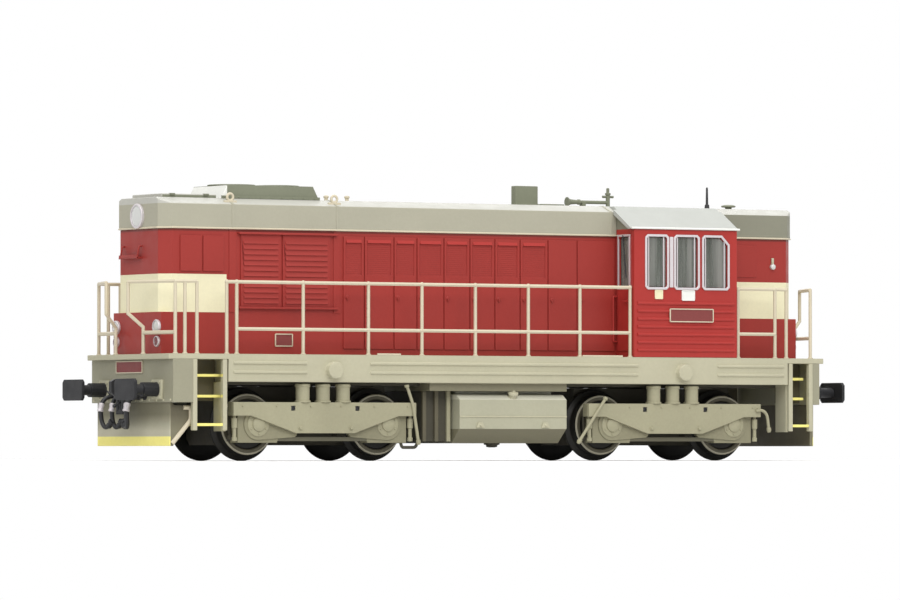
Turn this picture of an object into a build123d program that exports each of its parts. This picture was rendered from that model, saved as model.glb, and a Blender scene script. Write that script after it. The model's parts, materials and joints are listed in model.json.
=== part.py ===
"""Model of a four-axle hood diesel locomotive in 1:87, for 16.5 mm track.  All sizes are in millimetres.

The long hood points to -X, the cab and the short hood to +X, and +Z is up.  The wheel flanges stand
at Z 0, and the origin lies in the middle between them.  Looking forward, to -X, left is -Y.
"""
import os

from build123d import *

os.makedirs("parts", exist_ok=True)

SIDES = {"left": -1, "right": 1}
ENDS = {"front": -1, "rear": 1}

# Number of sides on thin bars, on bosses and on wheels
BAR_SIDES = 6
BOSS_SIDES = 12
WHEEL_SIDES = 24

# Wheels
TREAD_RADIUS = 5.75
FLANGE_DEPTH = 1.0
FLANGE_WIDTH = 0.8
FLANGE_LAND = 0.4
WHEEL_WIDTH = 2.8
BACK_TO_BACK = 14.4
TREAD_TAPER = 0.12
RIM_DEPTH = 1.2
HUB_RADIUS = 2.0
WEB_RECESS = 0.6
WEB_TAPER = 0.3
AXLE_RADIUS = 1.0
RUNNING_CLEARANCE = 0.05
WHEEL_CLEARANCE = 0.4

# Bogies: heights are given from the axle, up or down
BOGIE_CENTRES = 77.0
AXLE_SPACING = 27.6
GEARBOX_TAIL = 3.8
GEARBOX_DOWN = 3.85
GEARBOX_UP = 7.0
GEARBOX_BEVEL = 1.2
TRANSOM_HALF = 5.2
TRANSOM_UP = (0.65, 3.85)
KINGPIN_RADIUS = 3.0
KINGPIN_DEPTH = 6.5
BOLSTER_RADIUS = 5.0
BOLSTER_CLEARANCE = 0.3
SIDE_FRAME_ROOM = 2.6
SIDE_FRAME_THICK = 2.2
SIDE_FRAME_UP = 4.05
SIDE_FRAME_TAIL = 5.7
SIDE_ARM_DEPTH = 2.5
SIDE_SLOPE_PAST_AXLE = 1.9
SIDE_BELLY_HALF = 6.2
SIDE_BELLY_DOWN = 1.65
SIDE_POCKET_OUT = 6.85
SIDE_POCKET_UP = 2.95
SIDE_POCKET = 0.9
AXLE_BOX_HALF = 4.2
AXLE_BOX_DOWN = 3.4
TIE_BAR_UP = (-3.1, -2.3)
AXLE_BOX_COVER = 2.1
AXLE_BOX_GAP = 0.9
AXLE_BOX_BACK = 1.2
SPRING_RADIUS = 1.1
SPRING_PLACES = (-4.3, 0.0, 4.3)
SHOE_WIDTH = 2.0
SHOE_HALF_HEIGHT = 2.2

# Main frame
WHEEL_ROOM = 1.0
DECK_THICK = 1.0
SILL_DEPTH = 4.1
FRAME_HALF = 15.6
HEADSTOCK_THICK = 1.2
BEAM_UNDER_BUFFER = 2.37
CHEEK_THICK = 1.2
DECK_LIP = 0.95
RIB_PROUD = 0.3
RIB_WIDTH = 0.5
RIB_DROPS = (1.6, 3.3)
RIB_END_MARGIN = 1.0
JACK_BOSS_RADIUS = 1.6
JACK_BOSS_DROP = 2.9
JACK_BOSS_PROUD = 1.3
JACK_BOSS_SHIFT = 1.1
JACK_BOSS_ROOM = 9.0
UNDER_BEAM_DEPTH = 1.5
UNDER_BEAM_INSET = 1.0

# Steps: the recess lies between a bogie and the end panel beside the headstock
BOGIE_SWING_ROOM = 1.5
STEP_AND_END_PANEL = 11.55
END_PANEL = {"front": 4.15, "rear": 1.5}
STEP_INNER_SHIFT = {"front": 0.0, "rear": 4.25}
STRINGER_WIDTH = 0.9
STRINGER_SET_BACK = 0.25
STRINGER_DEPTH = 1.0
STRINGER_DROP = 14.0
TREAD_THICK = 0.5
STEP_BACK = (4.6, 5.0)
STEP_BACK_DROP = 8.6
# Step treads: drop of the top face under the deck, inset of the front edge and of the back edge
STEP_TREADS = ((3.7, 1.9, 4.6), (7.5, 1.9, 4.6), (12.7, 0.2, 3.4))

# Buffers, coupling and plough
BUFFER_SPACING = 20.1
BUFFER_Z = 13.07
BUFFER_LENGTH = 7.1
BUFFER_HEAD_WIDTH = 7.6
BUFFER_HEAD_HEIGHT = 3.9
BUFFER_HEAD_THICK = 0.6
BUFFER_HEAD_CORNER = 0.5
BUFFER_SHAFT_RADIUS = 0.95
BUFFER_SLEEVE_RADIUS = 1.3
BUFFER_SLEEVE_LENGTH = 3.6
BASE_PLATE = 3.6
BASE_PLATE_THICK = 0.5
HOOK_THICK = 1.0
# Side view of the draw hook: distance in front of the headstock, height over the buffers' middle
HOOK_OUTLINE = ((0.0, -0.5), (3.1, -1.5), (4.6, -0.5), (4.6, 1.5), (3.6, 2.0), (3.6, 0.5), (0.0, 0.5))
LINK_REACH = 2.3
LINK_RADIUS = 0.42
LINK_DROP = 4.1
HOSE_RADIUS = 0.42
HOSE_PLACES = (2.7, 5.0)
# Course of a hose: distance in front of the headstock, drop under the buffers, shift to the middle
HOSE_COURSE = (
    (0.0, 1.1, 0.0),
    (1.4, 1.1, 0.0),
    (2.5, 2.1, 0.0),
    (2.8, 3.9, 0.1),
    (2.5, 6.1, 0.4),
    (1.7, 8.2, 1.0),
)
PLOUGH_SET_BACK = 0.25
PLOUGH_THICK = 0.8
PLOUGH_BOTTOM = 2.75
PLOUGH_WING = {"front": 4.8, "rear": 1.2}
PLOUGH_WING_DROP = 0.5
PLOUGH_WING_KNEE = 3.2

# Hoods
HOOD_HALF = 9.1
HOOD_WALL = 1.2
HOOD_END_ROOM = 1.05
SHORT_HOOD_LENGTH = 17.9
HOOD_BASE_HEIGHT = 7.7
HOOD_SIDE_HEIGHT = 15.3
HOOD_SET_BACK = 0.4
CORNER_BEVEL = 1.9
BAND_HEIGHT = 4.6
BAND_OVERHANG = 0.2
ROOF_RISE = 1.2
ROOF_SLOPE_WIDTH = 2.6
PANEL_PROUD = 0.25
PANEL_GAP = 0.25
PANEL_RECESS = 0.2
DOOR_FOOT = 1.2
DOOR_HEAD = 0.9
# Doors of the long hood: distance of the first joint from the hood's end, of the last from the cab
DOORS_FROM_END = 38.4
DOORS_TO_CAB = 0.45
# Widths of the doors, which are fitted to the space between those joints
DOOR_WIDTHS = (4.6, 6.4, 5.0, 5.9, 5.7, 5.5, 5.6, 6.2, 6.5, 8.5)
PANELLED_DOORS = 8
DOOR_PANEL_MARGIN = 0.6
DOOR_PANEL_DROPS = (8.1, 2.1)
# Radiator louvres: distances of both ends from the hood's end
LOUVRES = ((16.6, 25.1), (25.5, 35.6))
LOUVRE_FOOT = 1.1
LOUVRE_HEAD = 0.9
LOUVRE_PITCH = 1.0
LOUVRE_PROUD = 0.5
LOUVRE_FRAME = 0.6
SIDE_PANELS = ((3.9, 8.4), (8.7, 13.0))
SIDE_PANEL_DROPS = (7.8, 1.2)

# Roof fittings: distances from the long hood's end or in front of the cab
COWL_FROM_END = (14.1, 35.0)
COWL_INSET = 2.7
COWL_HEIGHT = 2.5
COWL_BEVEL = 1.3
FAN_RADIUS = 4.1
FAN_SPACING = 9.4
FAN_DEPTH = 1.6
FAN_HUB_RADIUS = 1.2
FAN_BLADES = 6
FAN_BLADE_WIDTH = 1.4
FAN_BLADE_HEIGHT = 0.4
FAN_TIP_GAP = 0.5
HATCH_FROM_END = (2.0, 13.5)
HATCH_INSET = 3.5
HATCH_HEIGHT = 0.7
EXHAUST_TO_CAB = (17.35, 12.35)
EXHAUST_HALF = 0.8
EXHAUST_HEIGHT = 3.8
EXHAUST_WALL = 0.3
EXHAUST_PLATE_LENGTH = 5.0
EXHAUST_PLATE_HALF = 2.4
EXHAUST_PLATE_HEIGHT = 0.4
HORN_TO_CAB = 4.45
HORN_LENGTH = 3.6
HORN_RADIUS = 0.4
BELL_RADIUS = 0.9
BELL_LENGTH = 1.8
HORN_UP = 1.0
WHISTLE_PAST_CAB = 3.95
WHISTLE_HEIGHT = 3.8
WHISTLE_BAR_UP = 2.1
WHISTLE_BAR = 2.4
KNOBS_FROM_END = (40.2, 44.7)
KNOB_RADIUS = 0.5
KNOB_HEIGHT = 1.2
AERIAL_PAST_CAB = 3.35
AERIAL_HEIGHT = 4.4
AERIAL_RADIUS = 0.28
AERIAL_BASE_RADIUS = 0.56
AERIAL_BASE_HEIGHT = 1.1
VENT_PAST_CAB = 8.3
VENT_STEM_RADIUS = 0.7
VENT_STEM_HEIGHT = 0.6
VENT_CAP_RADIUS = 1.4
VENT_CAP_HEIGHT = 0.5

# Cab
CAB_LENGTH = 23.35
CAB_INSET = 0.1
CAB_WALL = 1.0
CAB_WALL_HEIGHT = 24.3
CAB_ROOF_FLAT = 8.2
CAB_ROOF_THICK = 1.0
CAB_ROOF_LIP = {"front": 0.8, "rear": 0.4}
CAB_ROOF_SIDE_LIP = 0.3
WINDOW_DROPS = (11.0, 1.4)
WINDOW_CORNER = 0.3
REAR_WINDOW_CORNER = 1.5
# Fields along a cab side, wall and window by turns, fitted to the cab's length
SIDE_WINDOW_FIELDS = (2.8, 4.5, 2.0, 5.0, 1.4, 5.4, 2.25)
# Windows and doors of the end walls: room beside the hood, inset from the cab's side
END_WINDOW_ROOM = (1.2, 1.6)
CAB_DOOR_ROOM = (0.8, 1.2)
DOOR_SIDE = {"front": "left", "rear": "right"}
WINDOW_FRAME = 0.45
WINDOW_FRAME_PROUD = 0.25
GLASS_THICK = 0.5
GLASS_CLEARANCE = 0.1
DESK_FROM_FRONT = (7.2, 15.7)
DESK_HALF = 4.0
DESK_HEIGHT = 11.0
SEAT_LENGTH = 4.6
SEAT_WIDTH = 4.2
SEAT_HEIGHT = 7.0
SEAT_BACK_THICK = 1.2
SEAT_BACK_HEIGHT = 6.5
SEAT_Y = 9.0

# Lamps: inset from the hood's side, height over the deck, radius, reach out of the hood's end
HEADLAMP = (1.4, 5.0, 1.3, 0.45)
TAIL_LAMP = (1.4, 2.3, 1.0, 0.4)
TOP_LAMP_UP = 2.4
TOP_LAMP_RADIUS = 2.3
TOP_LAMP_REACH = 0.5

# Handrails: heights are given over the deck
RAIL_INSET = 1.0
RAIL_HEIGHT = 13.2
RAIL_MIDDLE = 4.6
RAIL_RADIUS = 0.31
POST_RADIUS = 0.28
RAIL_END_GAP = 2.1
RAIL_TO_CAB = 0.4
# Spacing of the posts along the long hood, fitted to the space between the steps and the cab
POST_SPACING = (14.1, 14.0, 11.6, 11.7, 11.7, 11.5, 11.3)
REAR_POST_PAST_CAB = 0.8
REAR_POSTS_FROM_STEP = (-2.35, 0.25)
CORNER_POSTS = {"front": (0.95, 2.95, 5.45), "rear": (1.45,)}
END_RAIL_MIDDLE = 3.9
# Inner post of an end rail: distance in front of the headstock and from the middle
END_POST_TOP = (3.15, 4.2)
END_POST_FOOT = (0.55, 5.25)
END_POST_JOG = (4.9, 7.4)

# Under the frame
UNDERFRAME_ROOM = {"front": 1.95, "rear": 3.75}
TANK_INSET = 1.1
TANK_BOTTOM = 3.3
TANK_DROP = 2.1
TANK_TOP_BEVEL = (1.3, 0.9)
TANK_BOTTOM_BEVEL = (3.0, 2.7)
SADDLE_INSET = 1.2
SADDLE_HALF = 11.0
BOX_LENGTH = 6.1
BOX_GAP = 0.5
BOX_HALF = 11.5
BOX_BOTTOM = 3.6
BOX_RIB = 0.8
BOX_RIB_PROUD = 0.6
BOX_RIB_COUNT = 3

# Inner mass
DRIVE_FROM_END = 20.0
DRIVE_TO_CAB = 7.3
DRIVE_ROOM = 0.9
DRIVE_HEIGHT = 19.0

# Heights and places that follow from the sizes above
FLANGE_RADIUS = TREAD_RADIUS + FLANGE_DEPTH
AXLE_Z = FLANGE_RADIUS
FRAME_BOTTOM = 2 * FLANGE_RADIUS + WHEEL_ROOM
DECK_BOTTOM = FRAME_BOTTOM + SILL_DEPTH
DECK_TOP = DECK_BOTTOM + DECK_THICK
INNER_FACE = BACK_TO_BACK / 2
WHEEL_FACE = INNER_FACE + WHEEL_WIDTH
GEARBOX_HALF = INNER_FACE - 2 * WHEEL_CLEARANCE
GEARBOX_TOP = AXLE_Z + GEARBOX_UP
SIDE_FRAME_BACK = WHEEL_FACE + SIDE_FRAME_ROOM
SIDE_FRAME_FACE = SIDE_FRAME_BACK + SIDE_FRAME_THICK
SIDE_FRAME_TOP = AXLE_Z + SIDE_FRAME_UP
SIDE_FRAME_HALF = AXLE_SPACING / 2 + SIDE_FRAME_TAIL
BOGIE_REACH = AXLE_SPACING / 2 + FLANGE_RADIUS
PIVOT = BOGIE_CENTRES / 2
STEP_INNER = {end: PIVOT + SIDE_FRAME_HALF + BOGIE_SWING_ROOM + STEP_INNER_SHIFT[end] for end in ENDS}
HEADSTOCK_FACE = PIVOT + SIDE_FRAME_HALF + BOGIE_SWING_ROOM + STEP_AND_END_PANEL
STEP_OUTER = {end: HEADSTOCK_FACE - END_PANEL[end] for end in ENDS}
HEADSTOCK_BOTTOM = BUFFER_Z - BEAM_UNDER_BUFFER
PLOUGH_FACE = HEADSTOCK_FACE - PLOUGH_SET_BACK
PLOUGH_HALF = (BUFFER_SPACING + BUFFER_HEAD_WIDTH) / 2
HOOD_END = HEADSTOCK_FACE - HOOD_END_ROOM
HOOD_BASE_TOP = DECK_TOP + HOOD_BASE_HEIGHT
HOOD_TOP = HOOD_BASE_TOP + HOOD_SIDE_HEIGHT
BAND_TOP = HOOD_TOP + BAND_HEIGHT
ROOF_TOP = BAND_TOP + ROOF_RISE
UPPER_END = HOOD_END - HOOD_SET_BACK
ROOF_BAND_HALF = HOOD_HALF + BAND_OVERHANG
ROOF_FLAT_HALF = HOOD_HALF - ROOF_SLOPE_WIDTH
COWL_HALF = HOOD_HALF - COWL_INSET
HATCH_HALF = HOOD_HALF - HATCH_INSET
CAB_REAR = HOOD_END - SHORT_HOOD_LENGTH
CAB_FRONT = CAB_REAR - CAB_LENGTH
CAB_HALF = FRAME_HALF - CAB_INSET
CAB_EAVE = DECK_TOP + CAB_WALL_HEIGHT
WINDOW_Z = tuple(CAB_EAVE - drop for drop in WINDOW_DROPS)
RAIL_PLANE = FRAME_HALF - RAIL_INSET
RAIL_TOP = DECK_TOP + RAIL_HEIGHT
BOX_START = BOGIE_REACH + UNDERFRAME_ROOM["front"] - PIVOT
BOX_X = (BOX_START, BOX_START + BOX_LENGTH)
TANK_X = (BOX_X[1] + BOX_GAP, PIVOT - BOGIE_REACH - UNDERFRAME_ROOM["rear"])
TANK_HALF = FRAME_HALF - TANK_INSET
TANK_TOP = FRAME_BOTTOM - TANK_DROP
UNDER_BEAM_BOTTOM = FRAME_BOTTOM - UNDER_BEAM_DEPTH
# A bevelled corner grows by this share of the distance when its outline is set off
BEVEL_GROWTH = 2 - 2 ** 0.5


def span(sign, near, far):
    """Low and high end of a stretch between two distances from the middle."""
    return tuple(sorted((sign * near, sign * far)))


def from_end(distances):
    """Places along the long hood, given as distances from its outer end."""
    return tuple(distance - HOOD_END for distance in distances)


def fitted(start, stop, widths):
    """Joints of a row of fields that share a space in the proportion of their widths."""
    share = (stop - start) / sum(widths)
    return [start + share * sum(widths[:count]) for count in range(len(widths) + 1)]


def slab(x, y, z, mode=Mode.ADD):
    """A block between a low and a high value on each axis."""
    with Locations(((x[0] + x[1]) / 2, (y[0] + y[1]) / 2, (z[0] + z[1]) / 2)):
        Box(x[1] - x[0], y[1] - y[0], z[1] - z[0], mode=mode)


def prism(plane, points, depth, mode=Mode.ADD):
    """A polygon drawn on a plane and pulled out along its normal."""
    with BuildSketch(plane) as outline:
        with BuildLine():
            Polyline(*points, close=True)
        make_face()
    extrude(outline.sketch, amount=depth, mode=mode)


def along_x(points, x, mode=Mode.ADD):
    """A cross-section of (Y, Z) points that runs along X."""
    prism(Plane.YZ.offset(x[0]), points, x[1] - x[0], mode)


def along_y(points, y, mode=Mode.ADD):
    """A side view of (X, Z) points that runs along Y."""
    prism(Plane.XZ.offset(-y[1]), points, y[1] - y[0], mode)


def along_z(points, z, mode=Mode.ADD):
    """A plan of (X, Y) points that runs up along Z."""
    prism(Plane.XY.offset(z[0]), points, z[1] - z[0], mode)


def mirrored(points):
    """Close a half outline, given from bottom to top on the +Y side, with its mirror image."""
    return list(points) + [(-y, z) for y, z in reversed(points)]


def pane(across, up, corner, last_corner, grow=0.0):
    """Outline of a window with bevelled corners, the last of them at the high end on top."""
    low, high = across[0] - grow, across[1] + grow
    sill, head = up[0] - grow, up[1] + grow
    cut = corner + BEVEL_GROWTH * grow
    last = last_corner + BEVEL_GROWTH * grow
    return ((low + cut, sill), (high - cut, sill), (high, sill + cut), (high, head - last),
            (high - last, head), (low + cut, head), (low, head - cut), (low, sill + cut))


def rod(start, end, radius, mode=Mode.ADD):
    """A round pin or bore from one point to another."""
    axis = Vector(*end) - Vector(*start)
    with BuildSketch(Plane(origin=start, z_dir=axis)) as section:
        Circle(radius)
    extrude(section.sketch, amount=axis.length, mode=mode)


def bar(points, radius, sides=BAR_SIDES, mode=Mode.ADD):
    """A many-sided bar along straight runs that meet in mitres."""
    with BuildLine() as path:
        Polyline(*points)
    with BuildSketch(Plane(origin=path.line @ 0, z_dir=path.line % 0)) as section:
        RegularPolygon(radius, sides, major_radius=False, rotation=180 / sides)
    sweep(section.sketch, path=path.line, transition=Transition.RIGHT, mode=mode)


def turned(centre, steps, sides, mode=Mode.ADD):
    """A many-sided turned piece about Y, through (Y, radius) steps in a row."""
    sections = []
    for y, radius in steps:
        place = Plane(origin=(centre[0], y, centre[1]), x_dir=(1, 0, 0), z_dir=(0, 1, 0))
        with BuildSketch(place) as section:
            RegularPolygon(radius, sides)
        sections.append(section.sketch)
    loft(sections, ruled=True, mode=mode)


def save(piece, name):
    """Label a finished piece and write it."""
    piece.part.label = name
    export_step(piece.part, f"parts/{name}.step")


# Main frame: deck, solid chassis between the steps, lower beam over the tank, ribs and jacking bosses
with BuildPart() as frame:
    deck_end = HEADSTOCK_FACE + DECK_LIP
    slab((-deck_end, deck_end), (-FRAME_HALF, FRAME_HALF), (DECK_BOTTOM, DECK_TOP))
    sill_x = (-STEP_INNER["front"], STEP_INNER["rear"])
    slab(sill_x, (-FRAME_HALF, FRAME_HALF), (FRAME_BOTTOM, DECK_BOTTOM))
    beam_half = FRAME_HALF - UNDER_BEAM_INSET
    slab((BOX_X[0], TANK_X[1]), (-beam_half, beam_half), (UNDER_BEAM_BOTTOM, FRAME_BOTTOM))
    rib_fields = ((sill_x[0] + RIB_END_MARGIN, -PIVOT - JACK_BOSS_ROOM / 2),
                  (JACK_BOSS_ROOM - PIVOT, PIVOT - JACK_BOSS_ROOM),
                  (PIVOT + JACK_BOSS_ROOM, sill_x[1] - RIB_END_MARGIN))
    for side in SIDES.values():
        for rib in rib_fields:
            for drop in RIB_DROPS:
                height = DECK_TOP - drop
                slab(rib, span(side, FRAME_HALF, FRAME_HALF + RIB_PROUD),
                     (height - RIB_WIDTH / 2, height + RIB_WIDTH / 2))
        boss = [(y, JACK_BOSS_RADIUS) for y in span(side, FRAME_HALF, FRAME_HALF + JACK_BOSS_PROUD)]
        for end in ENDS.values():
            turned((end * PIVOT + JACK_BOSS_SHIFT, DECK_TOP - JACK_BOSS_DROP), boss, BOSS_SIDES)
save(frame, "frame")

with BuildPart() as kingpins:
    for end in ENDS.values():
        rod((end * PIVOT, 0, FRAME_BOTTOM), (end * PIVOT, 0, FRAME_BOTTOM - KINGPIN_DEPTH), KINGPIN_RADIUS)
save(kingpins, "kingpins")

# Ends of the frame
for end, sign in ENDS.items():
    with BuildPart() as headstock:
        tall = (HEADSTOCK_BOTTOM, DECK_BOTTOM)
        slab(span(sign, HEADSTOCK_FACE - HEADSTOCK_THICK, HEADSTOCK_FACE), (-FRAME_HALF, FRAME_HALF), tall)
        for side in SIDES.values():
            cheek = span(side, FRAME_HALF - CHEEK_THICK, FRAME_HALF)
            slab(span(sign, STEP_OUTER[end], HEADSTOCK_FACE), cheek, tall)
    save(headstock, f"headstock_{end}")

    with BuildPart() as steps:
        inner = STEP_INNER[end] + STRINGER_SET_BACK
        outer = STEP_OUTER[end]
        for side in SIDES.values():
            for x in ((inner, inner + STRINGER_WIDTH), (outer - STRINGER_WIDTH, outer)):
                slab(span(sign, *x), span(side, FRAME_HALF - STRINGER_DEPTH, FRAME_HALF),
                     (DECK_TOP - STRINGER_DROP, DECK_BOTTOM))
            slab(span(sign, inner, outer), span(side, *(FRAME_HALF - inset for inset in STEP_BACK)),
                 (DECK_TOP - STEP_BACK_DROP, DECK_BOTTOM))
            for drop, edge, back in STEP_TREADS:
                tread = span(side, FRAME_HALF - back, FRAME_HALF - edge)
                slab(span(sign, inner, outer - STRINGER_WIDTH), tread,
                     (DECK_TOP - drop - TREAD_THICK, DECK_TOP - drop))
    save(steps, f"steps_{end}")

    with BuildPart() as plough:
        tall = (PLOUGH_BOTTOM, HEADSTOCK_BOTTOM)
        slab(span(sign, PLOUGH_FACE - PLOUGH_THICK, PLOUGH_FACE), (-PLOUGH_HALF, PLOUGH_HALF), tall)
        for side in SIDES.values():
            wing_end = PLOUGH_FACE - PLOUGH_WING[end]
            wing_top = HEADSTOCK_BOTTOM - PLOUGH_WING_DROP
            wing = ((PLOUGH_FACE, PLOUGH_BOTTOM), (PLOUGH_FACE, wing_top), (wing_end, wing_top),
                    (wing_end, HEADSTOCK_BOTTOM - PLOUGH_WING_KNEE))
            along_y([(sign * x, z) for x, z in wing], span(side, PLOUGH_HALF - PLOUGH_THICK, PLOUGH_HALF))
    save(plough, f"plough_{end}")

    plate_x = span(sign, HEADSTOCK_FACE, HEADSTOCK_FACE + BASE_PLATE_THICK)
    plate_z = (BUFFER_Z - BASE_PLATE / 2, BUFFER_Z + BASE_PLATE / 2)

    with BuildPart() as buffers:
        root = sign * HEADSTOCK_FACE
        sleeve_end = sign * (HEADSTOCK_FACE + BUFFER_SLEEVE_LENGTH)
        tip = HEADSTOCK_FACE + BUFFER_LENGTH
        for side in SIDES.values():
            y = side * BUFFER_SPACING / 2
            slab(plate_x, (y - BASE_PLATE / 2, y + BASE_PLATE / 2), plate_z)
            bar(((root, y, BUFFER_Z), (sleeve_end, y, BUFFER_Z)), BUFFER_SLEEVE_RADIUS, BOSS_SIDES)
            bar(((root, y, BUFFER_Z), (sign * tip, y, BUFFER_Z)), BUFFER_SHAFT_RADIUS, BOSS_SIDES)
            head = pane((y - BUFFER_HEAD_WIDTH / 2, y + BUFFER_HEAD_WIDTH / 2),
                        (BUFFER_Z - BUFFER_HEAD_HEIGHT / 2, BUFFER_Z + BUFFER_HEAD_HEIGHT / 2),
                        BUFFER_HEAD_CORNER, BUFFER_HEAD_CORNER)
            along_x(head, span(sign, tip - BUFFER_HEAD_THICK, tip))
    save(buffers, f"buffers_{end}")

    with BuildPart() as coupling:
        half = HOOK_THICK / 2
        slab(plate_x, (-BASE_PLATE / 2, BASE_PLATE / 2), plate_z)
        hook = [(sign * (HEADSTOCK_FACE + reach), BUFFER_Z + up) for reach, up in HOOK_OUTLINE]
        along_y(hook, (-half, half))
        link_x = sign * (HEADSTOCK_FACE + LINK_REACH)
        for height in (BUFFER_Z, BUFFER_Z - LINK_DROP):
            bar(((link_x, -HOOK_THICK, height), (link_x, HOOK_THICK, height)), LINK_RADIUS)
        for side in SIDES.values():
            y = side * HOOK_THICK
            link_z = (BUFFER_Z + LINK_RADIUS, BUFFER_Z - LINK_DROP - LINK_RADIUS)
            bar([(link_x, y, z) for z in link_z], LINK_RADIUS)
    save(coupling, f"coupling_{end}")

    with BuildPart() as hoses:
        for side in SIDES.values():
            for place in HOSE_PLACES:
                bar([(sign * (HEADSTOCK_FACE + reach), side * (place - shift), BUFFER_Z - drop)
                     for reach, drop, shift in HOSE_COURSE], HOSE_RADIUS)
    save(hoses, f"brake_hoses_{end}")


# Hoods
def hood_plan(inner, end, half, bevel):
    """Plan of a hood with bevelled corners at its outer end."""
    back = end - bevel if end > inner else end + bevel
    half_plan = ((inner, half), (back, half), (end, half - bevel))
    return [(x, -y) for x, y in half_plan] + list(reversed(half_plan))


# Hood name: end next to the cab, sign of its outer end
HOODS = {"hood_long": (CAB_FRONT, -1), "hood_short": (CAB_REAR, 1)}

for name, (inner, sign) in HOODS.items():
    with BuildPart() as hood:
        slab(tuple(sorted((inner, sign * HOOD_END))), (-HOOD_HALF, HOOD_HALF), (DECK_TOP, HOOD_BASE_TOP))
        along_z(hood_plan(inner, sign * UPPER_END, HOOD_HALF, CORNER_BEVEL), (HOOD_BASE_TOP, HOOD_TOP))
        cavity_end = sign * (UPPER_END - CORNER_BEVEL - HOOD_WALL)
        slab(tuple(sorted((inner, cavity_end))), (HOOD_WALL - HOOD_HALF, HOOD_HALF - HOOD_WALL),
             (DECK_TOP, HOOD_TOP), mode=Mode.SUBTRACT)
    save(hood, name)

    with BuildPart() as roof:
        profile = ((ROOF_BAND_HALF, HOOD_TOP), (ROOF_BAND_HALF, BAND_TOP), (ROOF_FLAT_HALF, ROOF_TOP))
        end = sign * (UPPER_END + BAND_OVERHANG)
        along_x(mirrored(profile), tuple(sorted((inner, end))))
        plan = hood_plan(inner, end, ROOF_BAND_HALF, CORNER_BEVEL)
        along_z(plan, (HOOD_TOP, ROOF_TOP), mode=Mode.INTERSECT)
    save(roof, f"{name}_roof")

# Doors, panels and louvres along both sides of the long hood
door_joints = fitted(DOORS_FROM_END - HOOD_END, CAB_FRONT - DOORS_TO_CAB, DOOR_WIDTHS)
for name, side in SIDES.items():
    with BuildPart() as doors:
        face = span(side, HOOD_HALF, HOOD_HALF + PANEL_PROUD)
        recess = span(side, HOOD_HALF + PANEL_PROUD - PANEL_RECESS, HOOD_HALF + PANEL_PROUD)
        door_z = (DECK_TOP + DOOR_FOOT, HOOD_TOP - DOOR_HEAD)
        field_z = tuple(HOOD_TOP - drop for drop in DOOR_PANEL_DROPS)
        fields = list(zip(door_joints[:-1], door_joints[1:]))
        for start, stop in fields:
            slab((start + PANEL_GAP / 2, stop - PANEL_GAP / 2), face, door_z)
        for start, stop in fields[:PANELLED_DOORS]:
            slab((start + DOOR_PANEL_MARGIN, stop - DOOR_PANEL_MARGIN), recess, field_z, mode=Mode.SUBTRACT)
        for panel in map(from_end, SIDE_PANELS):
            slab(panel, face, tuple(HOOD_TOP - drop for drop in SIDE_PANEL_DROPS))
    save(doors, f"hood_doors_{name}")

    with BuildPart() as louvres:
        back = side * HOOD_HALF
        louvre_z = (HOOD_BASE_TOP + LOUVRE_FOOT, HOOD_TOP - LOUVRE_HEAD)
        first_slat = louvre_z[0] + LOUVRE_FRAME
        slat_count = int((louvre_z[1] - LOUVRE_FRAME - first_slat) / LOUVRE_PITCH)
        for start, stop in map(from_end, LOUVRES):
            slab((start, stop), span(side, HOOD_HALF, HOOD_HALF + PANEL_PROUD), louvre_z)
            slats = [(back, first_slat)]
            for row in range(slat_count):
                foot = first_slat + row * LOUVRE_PITCH
                slats.append((side * (HOOD_HALF + LOUVRE_PROUD), foot))
                slats.append((side * (HOOD_HALF + PANEL_PROUD / 2), foot + LOUVRE_PITCH))
            slats.append((back, first_slat + slat_count * LOUVRE_PITCH))
            along_x(slats, (start + LOUVRE_FRAME, stop - LOUVRE_FRAME))
    save(louvres, f"radiator_louvres_{name}")

# Roof fittings
cowl_x = from_end(COWL_FROM_END)
cowl_top = ROOF_TOP + COWL_HEIGHT
fan_places = [sum(cowl_x) / 2 + step * FAN_SPACING / 2 for step in ENDS.values()]
with BuildPart() as cowl:
    low, high = cowl_x
    along_y(((low, ROOF_TOP), (high, ROOF_TOP), (high - COWL_BEVEL, cowl_top), (low + COWL_BEVEL, cowl_top)),
            (-COWL_HALF, COWL_HALF))
    for x in fan_places:
        bar(((x, 0, cowl_top - FAN_DEPTH), (x, 0, cowl_top)), FAN_RADIUS, WHEEL_SIDES, mode=Mode.SUBTRACT)
save(cowl, "fan_cowl")

with BuildPart() as fans:
    floor = cowl_top - FAN_DEPTH
    for x in fan_places:
        bar(((x, 0, floor), (x, 0, floor + FAN_DEPTH / 2)), FAN_HUB_RADIUS)
        with Locations((x, 0, floor + FAN_DEPTH / 4)):
            with PolarLocations(FAN_RADIUS / 2, FAN_BLADES):
                Box(FAN_RADIUS - 2 * FAN_TIP_GAP, FAN_BLADE_WIDTH, FAN_BLADE_HEIGHT)
save(fans, "fans")

with BuildPart() as hatch:
    slab(from_end(HATCH_FROM_END), (-HATCH_HALF, HATCH_HALF), (ROOF_TOP, ROOF_TOP + HATCH_HEIGHT))
save(hatch, "roof_hatch")

with BuildPart() as exhaust:
    low, high = (CAB_FRONT - distance for distance in EXHAUST_TO_CAB)
    slab((low, high), (-EXHAUST_HALF, EXHAUST_HALF), (ROOF_TOP, ROOF_TOP + EXHAUST_HEIGHT))
    mouth_half = EXHAUST_HALF - EXHAUST_WALL
    slab((low + EXHAUST_WALL, high - EXHAUST_WALL), (-mouth_half, mouth_half),
         (ROOF_TOP + EXHAUST_HEIGHT / 2, ROOF_TOP + EXHAUST_HEIGHT), mode=Mode.SUBTRACT)
    slab((high, high + EXHAUST_PLATE_LENGTH), (-EXHAUST_PLATE_HALF, EXHAUST_PLATE_HALF),
         (ROOF_TOP, ROOF_TOP + EXHAUST_PLATE_HEIGHT))
save(exhaust, "exhaust_stack")

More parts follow.
